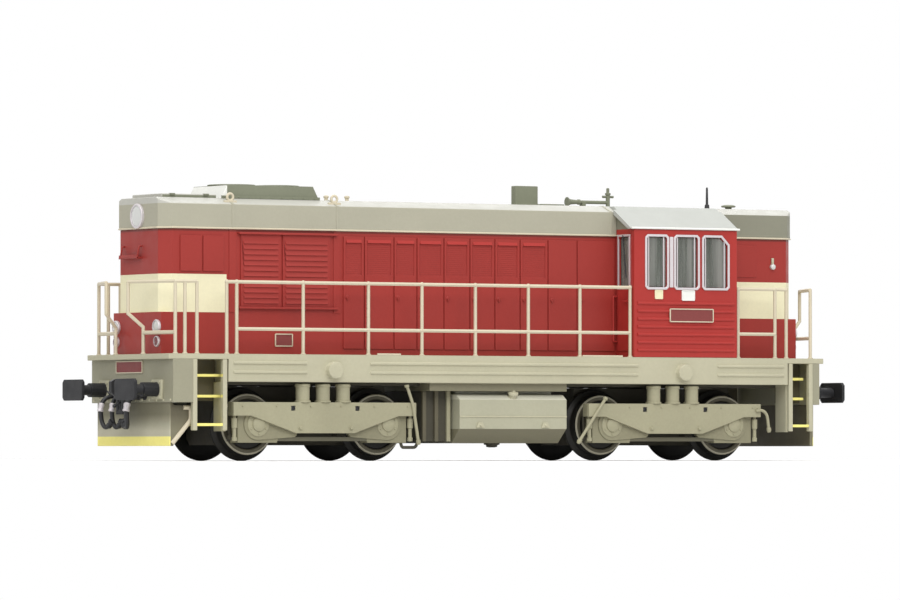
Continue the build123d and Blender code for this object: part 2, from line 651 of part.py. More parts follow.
with BuildPart() as horns:
    mouth = CAB_FRONT - HORN_TO_CAB - BELL_LENGTH / 2
    pipe_z = ROOF_TOP + HORN_UP
    whistle_x = CAB_FRONT + WHISTLE_PAST_CAB
    bar(((mouth, 0, pipe_z), (mouth + BELL_LENGTH, 0, pipe_z)), BELL_RADIUS)
    bar(((mouth, 0, pipe_z), (whistle_x, 0, pipe_z)), HORN_RADIUS)
    bar(((mouth + HORN_LENGTH, 0, ROOF_TOP), (mouth + HORN_LENGTH, 0, pipe_z)), HORN_RADIUS)
    bar(((whistle_x, 0, ROOF_TOP), (whistle_x, 0, ROOF_TOP + WHISTLE_HEIGHT)), HORN_RADIUS)
    bar_z = ROOF_TOP + WHISTLE_BAR_UP
    bar(((whistle_x - WHISTLE_BAR / 2, 0, bar_z), (whistle_x + WHISTLE_BAR / 2, 0, bar_z)), HORN_RADIUS / 2)
save(horns, "horns")

with BuildPart() as aerial:
    x = CAB_REAR + AERIAL_PAST_CAB
    bar(((x, 0, ROOF_TOP), (x, 0, ROOF_TOP + AERIAL_HEIGHT)), AERIAL_RADIUS)
    bar(((x, 0, ROOF_TOP), (x, 0, ROOF_TOP + AERIAL_BASE_HEIGHT)), AERIAL_BASE_RADIUS)
save(aerial, "aerial")

with BuildPart() as vent:
    x = CAB_REAR + VENT_PAST_CAB
    neck = ROOF_TOP + VENT_STEM_HEIGHT
    bar(((x, 0, ROOF_TOP), (x, 0, neck)), VENT_STEM_RADIUS, BOSS_SIDES)
    bar(((x, 0, neck), (x, 0, neck + VENT_CAP_HEIGHT)), VENT_CAP_RADIUS, BOSS_SIDES)
save(vent, "roof_vent")

with BuildPart() as eyes:
    for x in from_end(KNOBS_FROM_END):
        bar(((x, 0, ROOF_TOP), (x, 0, ROOF_TOP + KNOB_HEIGHT)), KNOB_RADIUS)
save(eyes, "lifting_eyes")

# Cab: side windows, the last with a wider bevel, and a window on each side of the end walls
window_edges = fitted(CAB_FRONT, CAB_REAR, SIDE_WINDOW_FIELDS)[1:-1]
side_windows = [(across, WINDOW_Z, WINDOW_CORNER, WINDOW_CORNER)
                for across in zip(window_edges[0:-2:2], window_edges[1:-2:2])]
side_windows.append((window_edges[-2:], WINDOW_Z, WINDOW_CORNER, REAR_WINDOW_CORNER))
end_window_y = (HOOD_HALF + END_WINDOW_ROOM[0], CAB_HALF - END_WINDOW_ROOM[1])
cab_door_y = (HOOD_HALF + CAB_DOOR_ROOM[0], CAB_HALF - CAB_DOOR_ROOM[1])
end_windows = {side: (span(side, *end_window_y), WINDOW_Z, WINDOW_CORNER, WINDOW_CORNER)
               for side in SIDES.values()}

for name, side in SIDES.items():
    with BuildPart() as cab_side:
        wall = span(side, CAB_HALF - CAB_WALL, CAB_HALF)
        slab((CAB_FRONT, CAB_REAR), wall, (DECK_TOP, CAB_EAVE))
        for opening in side_windows:
            along_y(pane(*opening), wall, mode=Mode.SUBTRACT)
    save(cab_side, f"cab_side_{name}")

INNER_ROOF = ((CAB_HALF - CAB_WALL, CAB_EAVE), (CAB_ROOF_FLAT, ROOF_TOP - CAB_ROOF_THICK))
CAB_ENDS = {"front": CAB_FRONT, "rear": CAB_REAR}

for end, x in CAB_ENDS.items():
    with BuildPart() as end_wall:
        wall = tuple(sorted((x, x - ENDS[end] * CAB_WALL)))
        along_x(mirrored(((CAB_HALF - CAB_WALL, DECK_TOP),) + INNER_ROOF), wall)
        for opening in end_windows.values():
            along_x(pane(*opening), wall, mode=Mode.SUBTRACT)
    save(end_wall, f"cab_{end}_wall")

with BuildPart() as cab_doors:
    for end, x in CAB_ENDS.items():
        side = SIDES[DOOR_SIDE[end]]
        leaf = tuple(sorted((x, x + ENDS[end] * PANEL_PROUD)))
        slab(leaf, span(side, *cab_door_y), (DECK_TOP + DOOR_FOOT, CAB_EAVE - DOOR_HEAD))
        along_x(pane(*end_windows[side]), leaf, mode=Mode.SUBTRACT)
save(cab_doors, "cab_doors")

with BuildPart() as cab_roof:
    outer = ((CAB_HALF + CAB_ROOF_SIDE_LIP, CAB_EAVE), (CAB_ROOF_FLAT, ROOF_TOP))
    roof_x = (CAB_FRONT - CAB_ROOF_LIP["front"], CAB_REAR + CAB_ROOF_LIP["rear"])
    along_x(mirrored(outer), roof_x)
    along_x(mirrored(INNER_ROOF), roof_x, mode=Mode.SUBTRACT)
    for lip in ((roof_x[0], CAB_FRONT), (CAB_REAR, roof_x[1])):
        slab(lip, (-ROOF_BAND_HALF, ROOF_BAND_HALF), (CAB_EAVE, ROOF_TOP), mode=Mode.SUBTRACT)
save(cab_roof, "cab_roof")

with BuildPart() as cab_frames:
    for side in SIDES.values():
        rim = span(side, CAB_HALF, CAB_HALF + WINDOW_FRAME_PROUD)
        for opening in side_windows:
            along_y(pane(*opening, grow=WINDOW_FRAME), rim)
        for opening in side_windows:
            along_y(pane(*opening), rim, mode=Mode.SUBTRACT)
save(cab_frames, "cab_window_frames")

with BuildPart() as cab_glass:
    set_back = (CAB_WALL - GLASS_THICK) / 2
    for side in SIDES.values():
        for opening in side_windows:
            along_y(pane(*opening, grow=-GLASS_CLEARANCE),
                    span(side, CAB_HALF - set_back - GLASS_THICK, CAB_HALF - set_back))
        for end, x in CAB_ENDS.items():
            outside = x - ENDS[end] * set_back
            along_x(pane(*end_windows[side], grow=-GLASS_CLEARANCE),
                    tuple(sorted((outside, outside - ENDS[end] * GLASS_THICK))))
save(cab_glass, "cab_glass")

with BuildPart() as desk:
    slab(tuple(CAB_FRONT + distance for distance in DESK_FROM_FRONT), (-DESK_HALF, DESK_HALF),
         (DECK_TOP, DECK_TOP + DESK_HEIGHT))
save(desk, "cab_desk")

with BuildPart() as seats:
    middle = (CAB_FRONT + CAB_REAR) / 2
    seat_top = DECK_TOP + SEAT_HEIGHT
    for side in SIDES.values():
        y = (side * SEAT_Y - SEAT_WIDTH / 2, side * SEAT_Y + SEAT_WIDTH / 2)
        back_x = middle + SEAT_LENGTH / 2
        slab((middle - SEAT_LENGTH / 2, back_x), y, (DECK_TOP, seat_top))
        slab((back_x - SEAT_BACK_THICK, back_x), y, (seat_top, seat_top + SEAT_BACK_HEIGHT))
save(seats, "cab_seats")

# Lamps
for end, sign in ENDS.items():
    with BuildPart() as lamps:
        for inset, height, radius, reach in (HEADLAMP, TAIL_LAMP):
            for side in SIDES.values():
                y = side * (HOOD_HALF - inset)
                face = (HOOD_END, HOOD_END + reach)
                bar([(sign * x, y, DECK_TOP + height) for x in face], radius, BOSS_SIDES)
        fascia = UPPER_END + BAND_OVERHANG
        face = (fascia, fascia + TOP_LAMP_REACH)
        bar([(sign * x, 0, HOOD_TOP + TOP_LAMP_UP) for x in face], TOP_LAMP_RADIUS, BOSS_SIDES)
    save(lamps, f"lamps_{end}")

# Handrails along the sides: places of the posts beside the long hood and beside the short hood
front_post = POST_RADIUS / 2 - STEP_INNER["front"]
long_posts = [front_post] + fitted(front_post + RAIL_END_GAP, CAB_FRONT - RAIL_TO_CAB, POST_SPACING)
short_posts = [CAB_REAR + REAR_POST_PAST_CAB] + [STEP_INNER["rear"] + shift for shift in REAR_POSTS_FROM_STEP]
for name, side in SIDES.items():
    with BuildPart() as rail:
        y = side * RAIL_PLANE
        middle_z = DECK_TOP + RAIL_MIDDLE
        for posts, middle_posts in ((long_posts, long_posts[1:]), (short_posts, short_posts[:-1])):
            bar(((posts[0], y, RAIL_TOP), (posts[-1], y, RAIL_TOP)), RAIL_RADIUS)
            bar(((middle_posts[0], y, middle_z), (middle_posts[-1], y, middle_z)), RAIL_RADIUS)
            for x in posts:
                bar(((x, y, DECK_TOP), (x, y, RAIL_TOP)), POST_RADIUS)
    save(rail, f"handrail_{name}")

# Handrails round the ends
for end, sign in ENDS.items():
    with BuildPart() as end_rail:
        corner = [sign * (HEADSTOCK_FACE - distance) for distance in CORNER_POSTS[end]]
        top_x, foot_x = (sign * (HEADSTOCK_FACE + post[0]) for post in (END_POST_TOP, END_POST_FOOT))
        jog_low, jog_high = (DECK_TOP + height for height in END_POST_JOG)
        middle_z = DECK_TOP + END_RAIL_MIDDLE
        for side in SIDES.values():
            y = side * RAIL_PLANE
            top_y, foot_y = side * END_POST_TOP[1], side * END_POST_FOOT[1]
            for x in corner:
                bar(((x, y, DECK_TOP), (x, y, RAIL_TOP)), POST_RADIUS)
            side_run = [(x, y, RAIL_TOP) for x in sorted({corner[0], corner[-1]}, key=abs)]
            bar(side_run + [(top_x, top_y, RAIL_TOP)], RAIL_RADIUS)
            bar(((foot_x, foot_y, DECK_TOP), (foot_x, foot_y, jog_low), (top_x, top_y, jog_high),
                 (top_x, top_y, RAIL_TOP)), POST_RADIUS)
            bar(((foot_x, foot_y, middle_z), (corner[0], y, middle_z)), RAIL_RADIUS)
    save(end_rail, f"end_rail_{end}")

# Tank and box under the frame
with BuildPart() as tank:
    top_in, top_drop = TANK_TOP_BEVEL
    bottom_in, bottom_rise = TANK_BOTTOM_BEVEL
    profile = ((TANK_HALF - bottom_in, TANK_BOTTOM), (TANK_HALF, TANK_BOTTOM + bottom_rise),
               (TANK_HALF, TANK_TOP - top_drop), (TANK_HALF - top_in, TANK_TOP))
    along_x(mirrored(profile), TANK_X)
    slab((TANK_X[0] + SADDLE_INSET, TANK_X[1] - SADDLE_INSET), (-SADDLE_HALF, SADDLE_HALF),
         (TANK_TOP, UNDER_BEAM_BOTTOM))
save(tank, "fuel_tank")

with BuildPart() as box:
    slab(BOX_X, (-BOX_HALF, BOX_HALF), (BOX_BOTTOM, UNDER_BEAM_BOTTOM))
    rib_pitch = (BOX_LENGTH - BOX_RIB) / (BOX_RIB_COUNT - 1)
    for count in range(BOX_RIB_COUNT):
        start = BOX_X[0] + count * rib_pitch
        rib_half = BOX_HALF + BOX_RIB_PROUD
        slab((start, start + BOX_RIB), (-rib_half, rib_half), (BOX_BOTTOM, UNDER_BEAM_BOTTOM))
save(box, "equipment_box")

with BuildPart() as drive:
    drive_half = HOOD_HALF - HOOD_WALL - DRIVE_ROOM
    slab((DRIVE_FROM_END - HOOD_END, CAB_FRONT - DRIVE_TO_CAB), (-drive_half, drive_half),
         (DECK_TOP, DECK_TOP + DRIVE_HEIGHT))
save(drive, "drive_block")


# Bogies
def side_frame_outline(centre):
    """Side view of a bogie side frame: thin arms over the axles and a deep middle."""
    arm = SIDE_FRAME_TOP - SIDE_ARM_DEPTH
    half = ((SIDE_BELLY_HALF, AXLE_Z - SIDE_BELLY_DOWN), (AXLE_SPACING / 2 + SIDE_SLOPE_PAST_AXLE, arm),
            (SIDE_FRAME_HALF, arm), (SIDE_FRAME_HALF, SIDE_FRAME_TOP))
    return [(centre + x, z) for x, z in half] + [(centre - x, z) for x, z in reversed(half)]


for end, sign in ENDS.items():
    pivot = sign * PIVOT
    # Place of each axle: the way from it to the pivot
    axles = {pivot - AXLE_SPACING / 2: 1, pivot + AXLE_SPACING / 2: -1}

    with BuildPart() as bogie:
        reach = AXLE_SPACING / 2 + GEARBOX_TAIL
        gearbox_bottom = AXLE_Z - GEARBOX_DOWN
        block = ((GEARBOX_HALF - GEARBOX_BEVEL, gearbox_bottom),
                 (GEARBOX_HALF, gearbox_bottom + GEARBOX_BEVEL), (GEARBOX_HALF, GEARBOX_TOP))
        along_x(mirrored(block), (pivot - reach, pivot + reach))
        slab((pivot - TRANSOM_HALF, pivot + TRANSOM_HALF), (-SIDE_FRAME_BACK, SIDE_FRAME_BACK),
             tuple(AXLE_Z + up for up in TRANSOM_UP))
        bolster_top = FRAME_BOTTOM - BOLSTER_CLEARANCE
        bar(((pivot, 0, GEARBOX_TOP), (pivot, 0, bolster_top)), BOLSTER_RADIUS, BOSS_SIDES)
        rod((pivot, 0, FRAME_BOTTOM - KINGPIN_DEPTH - BOLSTER_CLEARANCE), (pivot, 0, FRAME_BOTTOM),
            KINGPIN_RADIUS + RUNNING_CLEARANCE, mode=Mode.SUBTRACT)
        for x in axles:
            bar(((x, -GEARBOX_HALF, AXLE_Z), (x, GEARBOX_HALF, AXLE_Z)), AXLE_RADIUS + RUNNING_CLEARANCE,
                BOSS_SIDES, mode=Mode.SUBTRACT)
    save(bogie, f"bogie_{end}_frame")

    with BuildPart() as bogie_sides:
        spring_top = FRAME_BOTTOM - BOLSTER_CLEARANCE
        box_back = WHEEL_FACE + AXLE_BOX_GAP
        box_face = SIDE_FRAME_FACE - AXLE_BOX_BACK
        pocket_z = AXLE_Z + SIDE_POCKET_UP
        for side in SIDES.values():
            along_y(side_frame_outline(pivot), span(side, SIDE_FRAME_BACK, SIDE_FRAME_FACE))
            middle_y = side * (SIDE_FRAME_BACK + SIDE_FRAME_FACE) / 2
            for x, inward in axles.items():
                slab((x - AXLE_BOX_HALF, x + AXLE_BOX_HALF), span(side, box_back, box_face),
                     (AXLE_Z - AXLE_BOX_DOWN, SIDE_FRAME_TOP - SIDE_ARM_DEPTH))
                cover = span(side, box_face, box_face + PANEL_PROUD)
                turned((x, AXLE_Z), [(y, AXLE_BOX_COVER) for y in cover], BOSS_SIDES)
                tie_bar = tuple(sorted((x + inward * AXLE_BOX_HALF, pivot)))
                slab(tie_bar, span(side, SIDE_FRAME_BACK, box_face), tuple(AXLE_Z + up for up in TIE_BAR_UP))
            for place in SPRING_PLACES:
                x = pivot + place
                bar(((x, middle_y, SIDE_FRAME_TOP), (x, middle_y, spring_top)), SPRING_RADIUS)
            for x in (pivot - SIDE_POCKET_OUT, pivot + SIDE_POCKET_OUT):
                slab((x - SIDE_POCKET / 2, x + SIDE_POCKET / 2), span(side, box_face, SIDE_FRAME_FACE),
                     (pocket_z - SIDE_POCKET / 2, pocket_z + SIDE_POCKET / 2), mode=Mode.SUBTRACT)
    save(bogie_sides, f"bogie_{end}_sides")

    with BuildPart() as brakes:
        shoe_z = (AXLE_Z - SHOE_HALF_HEIGHT, AXLE_Z + SHOE_HALF_HEIGHT)
        for x, inward in axles.items():
            for side in SIDES.values():
                hanger = tuple(sorted((pivot - inward * TRANSOM_HALF, x + inward * TREAD_RADIUS / 2)))
                slab(hanger, span(side, WHEEL_FACE - SHOE_WIDTH, WHEEL_FACE), shoe_z)
            rod((x, -WHEEL_FACE, AXLE_Z), (x, WHEEL_FACE, AXLE_Z), FLANGE_RADIUS + WHEEL_CLEARANCE,
                mode=Mode.SUBTRACT)
    save(brakes, f"bogie_{end}_brakes")

# Wheelsets: two wheels with flange, coned tread, dished web and hub on one axle
wheel_steps = ((INNER_FACE, FLANGE_RADIUS), (INNER_FACE + FLANGE_LAND, FLANGE_RADIUS),
               (INNER_FACE + FLANGE_WIDTH, TREAD_RADIUS), (WHEEL_FACE, TREAD_RADIUS - TREAD_TAPER))
web_radius = TREAD_RADIUS - RIM_DEPTH
web_steps = ((WHEEL_FACE - WEB_RECESS, web_radius - WEB_TAPER), (WHEEL_FACE, web_radius))
hub_steps = ((WHEEL_FACE - WEB_RECESS, HUB_RADIUS), (WHEEL_FACE, HUB_RADIUS))
wheel_shapes = ((wheel_steps, WHEEL_SIDES, Mode.ADD), (web_steps, WHEEL_SIDES, Mode.SUBTRACT),
                (hub_steps, BOSS_SIDES, Mode.ADD))

axle_places = [end * PIVOT + half * AXLE_SPACING / 2 for end in ENDS.values() for half in (-1, 1)]
for number, x in enumerate(axle_places, start=1):
    with BuildPart() as wheelset:
        turned((x, AXLE_Z), ((-INNER_FACE, AXLE_RADIUS), (INNER_FACE, AXLE_RADIUS)), BOSS_SIDES)
        for side in SIDES.values():
            for steps, sides, mode in wheel_shapes:
                turned((x, AXLE_Z), [(side * y, radius) for y, radius in steps], sides, mode)
    save(wheelset, f"wheelset_{number}")
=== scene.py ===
"""Looks of the model hood diesel: paint, light, camera and the fine pieces that ride on the CAD bodies.

Lengths are in millimetres of the row frame until a mesh is made.  The long hood points to -X, the near side
of the photograph is -Y, and +Z is up.
"""
import json
import math
from functools import partial, reduce

import bmesh
import bpy
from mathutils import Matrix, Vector


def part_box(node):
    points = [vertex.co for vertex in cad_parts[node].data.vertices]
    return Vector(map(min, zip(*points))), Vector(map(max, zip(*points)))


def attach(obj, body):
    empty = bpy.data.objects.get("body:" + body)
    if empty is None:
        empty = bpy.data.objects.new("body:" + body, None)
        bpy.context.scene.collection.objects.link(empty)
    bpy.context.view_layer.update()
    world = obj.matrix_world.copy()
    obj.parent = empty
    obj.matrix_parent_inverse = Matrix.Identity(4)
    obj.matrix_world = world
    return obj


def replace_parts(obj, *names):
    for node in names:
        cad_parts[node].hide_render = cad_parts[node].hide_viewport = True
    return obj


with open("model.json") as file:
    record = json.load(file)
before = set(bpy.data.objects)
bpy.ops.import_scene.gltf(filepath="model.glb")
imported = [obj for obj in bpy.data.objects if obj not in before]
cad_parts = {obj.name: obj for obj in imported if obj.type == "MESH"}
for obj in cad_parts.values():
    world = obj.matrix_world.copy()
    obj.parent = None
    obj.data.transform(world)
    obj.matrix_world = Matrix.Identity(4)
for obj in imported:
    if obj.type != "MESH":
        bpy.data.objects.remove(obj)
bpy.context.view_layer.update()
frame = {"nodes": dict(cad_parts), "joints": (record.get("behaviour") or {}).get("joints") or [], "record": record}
NODES = frame["nodes"]

MM = 0.001
SIDES = {"left": -1, "right": 1}
ENDS = {"front": -1, "rear": 1}
NEAR = SIDES["left"]
ALONG, ACROSS, UP = Vector((1, 0, 0)), Vector((0, 1, 0)), Vector((0, 0, 1))


def where(node):
    """Lowest and highest corner of a CAD node."""
    return tuple(Vector(corner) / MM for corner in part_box(node))


def vertices_at(node, height):
    """Vertices of a CAD node that lie at one height."""
    found = (vertex.co / MM for vertex in NODES[node].data.vertices)
    return [point for point in found if abs(point.z - height) < 0.02]


def around(middle, width):
    """Both ends of a span round its middle."""
    return middle - width / 2, middle + width / 2


def spaced(first, last, count):
    """Evenly spaced places from the first to the last."""
    return [first + (last - first) * k / (count - 1) for k in range(count)]


def circle(centre, way, across, radius, count):
    """Points of a circle round a centre, square to a way and starting across it."""
    other = way.cross(across)
    turns = [2 * math.pi * k / count for k in range(count)]
    return [centre + (across * math.cos(turn) + other * math.sin(turn)) * radius for turn in turns]


# Places read from the frame
DECK = where("frame")[1].z
SILL_BOTTOM = where("kingpins")[1].z
FRAME_HALF = where("headstock_front")[1].y
HEADSTOCK = where("headstock_rear")[1].x
HEADSTOCK_BOTTOM = where("headstock_rear")[0].z
HOOD_END = where("hood_short")[1].x
HOOD_HALF, HOOD_TOP = where("hood_long")[1].yz
BAND_END, BAND_HALF, ROOF_TOP = where("hood_short_roof")[1]
CAB_FRONT = where("cab_side_left")[0].x
CAB_REAR, CAB_HALF, EAVE = where("cab_side_right")[1]
CAB_ENDS = {"front": CAB_FRONT, "rear": CAB_REAR}
COWL_LOW, COWL_HIGH = where("fan_cowl")
TANK_LOW, TANK_HIGH = where("fuel_tank")
JOINTS = {joint["name"]: Vector(joint["pos_m"]) / MM for joint in frame["joints"]}
WHEELSETS = {f"wheelset_{number}": JOINTS[f"wheelset_{number}_spin"] for number in range(1, 5)}
PIVOTS = {end: JOINTS[f"bogie_{end}_swivel"] for end in ENDS}
MOUNTS = {mount["name"]: Vector(mount["pos_m"]) / MM for mount in frame["record"]["mounts"]}
BUFFER_Y, BUFFER_Z = MOUNTS["buffer_rear_right"].yz

# Limits of the paint, edges of the roof, joints of the long hood, windows and tank
HOOD_BASE_TOP = DECK + 7.7
CREAM_TOP = HOOD_BASE_TOP + 7.0
CREAM_END = -56.3
BAND_TOP = ROOF_TOP - 1.2
ROOF_FLAT = HOOD_HALF - 2.6
CORNER_BEVEL = 1.9
SEAMS = (-55.05, -32.85)
WINDOW_FOOT = EAVE - 11.0
WINDOW_HEAD = EAVE - 1.4
TANK_TOP = SILL_BOTTOM - 2.1


def linear(red, green, blue):
    """Scene-linear colour of a tone as it reads in daylight, given in bytes."""
    tones = [byte / 255 for byte in (red, green, blue)]
    return (*(t / 12.92 if t <= 0.04045 else ((t + 0.055) / 1.055) ** 2.4 for t in tones), 1.0)


# Colours
RED = linear(152, 51, 45)
# The cab's red is the hood's red brightened as painted light on the cab.
LIT_CAB_RED = linear(165, 51, 46)
PLATE_RED = linear(126, 62, 60)
# Dark red of the painted shadow under the roof band of the hoods.
EAVE_SHADOW_RED = linear(118, 46, 40)
CREAM = linear(230, 224, 190)
BEIGE = linear(182, 178, 153)
# Beige darkened as painted shade for the headstocks.
SHADED_END_BEIGE = linear(150, 147, 126)
PLOUGH = linear(186, 182, 160)
TANK = linear(170, 168, 146)
# Pale beige of the painted highlight on the tank's upper bevel.
TANK_HIGHLIGHT = linear(206, 204, 186)
SHADED = linear(122, 118, 97)
# Dark painted shade for recesses and backs that lie in shadow.
RECESS_SHADE = linear(96, 91, 74)
RAIL = linear(204, 194, 170)
BOGIE = linear(158, 154, 128)
# Bogie beige darkened as painted shade, and darker still for the tie bars.
BOGIE_SHADE = linear(138, 134, 110)
TIE_BAR_SHADE = linear(98, 95, 79)
ROOF = linear(168, 165, 147)
ROOF_SHADED = linear(134, 133, 117)
# Pale grey of the painted highlight on the roofs' tops and slopes.
ROOF_HIGHLIGHT = linear(187, 186, 177)
CAB_ROOF = linear(180, 182, 176)
OLIVE = linear(124, 127, 108)
DARK = linear(70, 67, 56)
BLACK = linear(34, 34, 36)
YELLOW = linear(246, 236, 138)
SILVER = linear(208, 202, 204)
STEEL = linear(176, 171, 152)
# Tyre face, tread and disc are darkened as painted shade under the bogie frames.
TYRE_FACE = linear(96, 92, 77)
TREAD = linear(42, 41, 38)
DISC = linear(92, 89, 75)
LENS = linear(206, 207, 203)
TAIL = linear(112, 34, 40)
WHITE = linear(232, 232, 226)
INTERIOR = linear(142, 146, 132)
DIE_CAST = linear(110, 110, 108)
GLAZING_CLEAR = linear(112, 120, 110)
# Paler glazing towards the rear, and pale streaks that are painted reflections.
GLAZING_PALE = linear(160, 158, 152)
GLAZING_REFLECTION = linear(196, 196, 190)
TABLE_WHITE = (0.8, 0.8, 0.8, 1.0)


# Materials

class Look:
    """A node material under construction, with row-frame coordinates at hand."""

    def __init__(self, name):
        self.material = bpy.data.materials.new(name)
        self.material.use_nodes = True
        self.nodes = self.material.node_tree.nodes
        self.links = self.material.node_tree.links
        self.shader = self.nodes["Principled BSDF"]
        self.place = self.nodes.new("ShaderNodeTexCoord").outputs["Object"]
        split = self.nodes.new("ShaderNodeSeparateXYZ")
        self.links.new(self.place, split.inputs[0])
        self.axis = dict(zip("XYZ", split.outputs))

    def feed(self, value, socket):
        """Set a socket to a constant or link it to another socket."""
        if isinstance(value, (int, float, tuple)):
            socket.default_value = value
        else:
            self.links.new(value, socket)

    def math(self, operation, first, second=0.0):
        node = self.nodes.new("ShaderNodeMath")
        node.operation = operation
        self.feed(first, node.inputs[0])
        self.feed(second, node.inputs[1])
        return node.outputs[0]

    def noise(self, scale, detail=3.0, stretch=(1.0, 1.0, 1.0)):
        mapping = self.nodes.new("ShaderNodeMapping")
        mapping.inputs["Scale"].default_value = stretch
        self.links.new(self.place, mapping.inputs["Vector"])
        node = self.nodes.new("ShaderNodeTexNoise")
        node.inputs["Scale"].default_value = scale
        node.inputs["Detail"].default_value = detail
        self.links.new(mapping.outputs[0], node.inputs["Vector"])
        return node.outputs["Fac"]

    def mapped(self, value, start, stop, low=0.0, high=1.0):
        """A value carried from one span to another and held at its ends."""
        node = self.nodes.new("ShaderNodeMapRange")
        for socket, limit in zip(("From Min", "From Max", "To Min", "To Max"), (start, stop, low, high)):
            node.inputs[socket].default_value = limit
        self.links.new(value, node.inputs["Value"])
        return node.outputs["Result"]

    def spread(self, noise, low, high):
        """A noise between two values."""
        return self.mapped(noise, 0.3, 0.7, low, high)

    def ramp(self, axis, low, high):
        """Rises from zero to one between two places along an axis."""
        return self.mapped(self.axis[axis], low * MM, high * MM)

    def mix(self, factor, first, second):
        node = self.nodes.new("ShaderNodeMix")
        node.data_type = "RGBA"
        self.feed(factor, node.inputs["Factor"])
        self.feed(first, node.inputs["A"])
        self.feed(second, node.inputs["B"])
        return node.outputs["Result"]

    def shade(self, colour, factor):
        node = self.nodes.new("ShaderNodeVectorMath")
        node.operation = "SCALE"
        self.feed(colour[:3] if isinstance(colour, tuple) else colour, node.inputs[0])
        self.links.new(factor, node.inputs["Scale"])
        return node.outputs[0]

    def above(self, axis, place):
        """One past a place along an axis, else zero."""
        return self.math("GREATER_THAN", self.axis[axis], place * MM)

    def below(self, axis, place):
        """One before a place along an axis, else zero."""
        return self.math("LESS_THAN", self.axis[axis], place * MM)

    def between(self, axis, low, high):
        """One inside a slice of the frame, else zero."""
        return self.both(self.above(axis, low), self.below(axis, high))

    def outside(self, axis, distance):
        """One where a place is further than this from the middle of the frame, else zero."""
        return self.math("GREATER_THAN", self.math("ABSOLUTE", self.axis[axis]), distance * MM)

    def flipped(self, mask):
        return self.math("SUBTRACT", 1.0, mask)

    def both(self, *masks):
        return reduce(partial(self.math, "MULTIPLY"), masks)

    def either(self, *masks):
        return reduce(partial(self.math, "MAXIMUM"), masks)

    def bump(self, height, depth):
        """Add a relief to those that the surface has already."""
        node = self.nodes.new("ShaderNodeBump")
        node.inputs["Distance"].default_value = depth * MM
        self.links.new(height, node.inputs["Height"])
        normal = self.shader.inputs["Normal"]
        if normal.links:
            self.links.new(normal.links[0].from_socket, node.inputs["Normal"])
        self.links.new(node.outputs["Normal"], normal)

    def finish(self, colour, rough=0.5, tone=0.04, grain=0.012, metal=0.0, coat=0.0, gloss=0.28):
        """Paint or metal with a slight change of tone, gloss and surface over the piece."""
        large = self.spread(self.noise(90.0), 1 - tone, 1 + tone)
        small = self.spread(self.noise(1900.0, 2.0), 1 - tone / 2, 1 + tone / 2)
        self.feed(self.shade(self.shade(colour, large), small), self.shader.inputs["Base Color"])
        self.feed(self.spread(self.noise(420.0), rough - 0.07, rough + 0.07), self.shader.inputs["Roughness"])
        self.shader.inputs["Metallic"].default_value = metal
        self.shader.inputs["Coat Weight"].default_value = coat
        self.shader.inputs["Specular IOR Level"].default_value = gloss
        self.bump(self.noise(2600.0, 4.0), grain)
        return self.material


def paint(name, colour, rough=0.5, **how):
    return Look(name).finish(colour, rough, **how)


def body_paint(line=0.42, room=0.1):
    """Red with a cream band round both ends of the hoods and a painted shadow line under the roof."""
    look = Look("body_paint")
    ends = look.flipped(look.between("X", CREAM_END, CAB_REAR + room))
    band = look.both(look.between("Z", HOOD_BASE_TOP, CREAM_TOP), ends)
    eave_shadow = look.between("Z", HOOD_TOP - line, HOOD_TOP + room)
    return look.finish(look.mix(eave_shadow, look.mix(band, RED, CREAM), EAVE_SHADOW_RED), 0.45, tone=0.035)


def step_paint(stringer=0.9, tread=0.5, drops=(3.7, 7.5, 12.7), lap=0.02, plate=1.02, depth=4.4):
    """Beige stringers, yellow tread edges and painted shade deep in the recess."""
    look = Look("step_paint")
    reach = []
    for end in ENDS:
        low, high = where(f"steps_{end}")
        reach.append(look.between("X", low.x + stringer, high.x - stringer))
    treads = [look.between("Z", DECK - drop - tread, DECK - drop + lap) for drop in drops]
    behind_stringers = look.flipped(look.outside("Y", FRAME_HALF - plate))
    in_front = look.outside("Y", FRAME_HALF - depth)
    edge = look.both(look.either(*reach, behind_stringers), look.either(*treads), in_front)
    plain = look.mix(look.flipped(in_front), BEIGE, RECESS_SHADE)
    return look.finish(look.mix(edge, plain, YELLOW), 0.55)


def plough_paint(stripe=4.5, shade_span=(5.5, 8.5), skin=0.15):
    """Beige with painted shade rising towards the headstock, a yellow stripe along its foot and a back in painted
    shade.
    """
    look = Look("plough_paint")
    shade_rise = look.ramp("Z", *shade_span)
    face = look.outside("X", where("plough_rear")[1].x - skin)
    wing = look.outside("Y", where("plough_front")[1].y - skin)
    back = look.mix(wing, RECESS_SHADE, look.mix(shade_rise, SHADED, RECESS_SHADE))
    plain = look.mix(face, back, look.mix(shade_rise, PLOUGH, SHADED))
    return look.finish(look.mix(look.both(face, look.below("Z", stripe)), plain, YELLOW), 0.55)


def deck_paint(skin=0.05, relief=0.05, radians_per_m=7000.0):
    """Beige, shaded under the sill, with a raised tread pattern on the walkway."""
    look = Look("deck_paint")
    material = look.finish(look.mix(look.below("Z", SILL_BOTTOM - skin), BEIGE, SHADED), 0.55)
    waves = [look.math("SINE", look.math("MULTIPLY", look.axis[axis], radians_per_m)) for axis in "XY"]
    look.bump(look.both(*waves, look.above("Z", DECK - skin)), relief)
    return material


def buffer_paint(plate=0.52):
    """Black buffers on beige base plates."""
    look = Look("buffer_paint")
    base = look.flipped(look.outside("X", HEADSTOCK + plate))
    return look.finish(look.mix(base, BLACK, BEIGE), 0.5, tone=0.1)


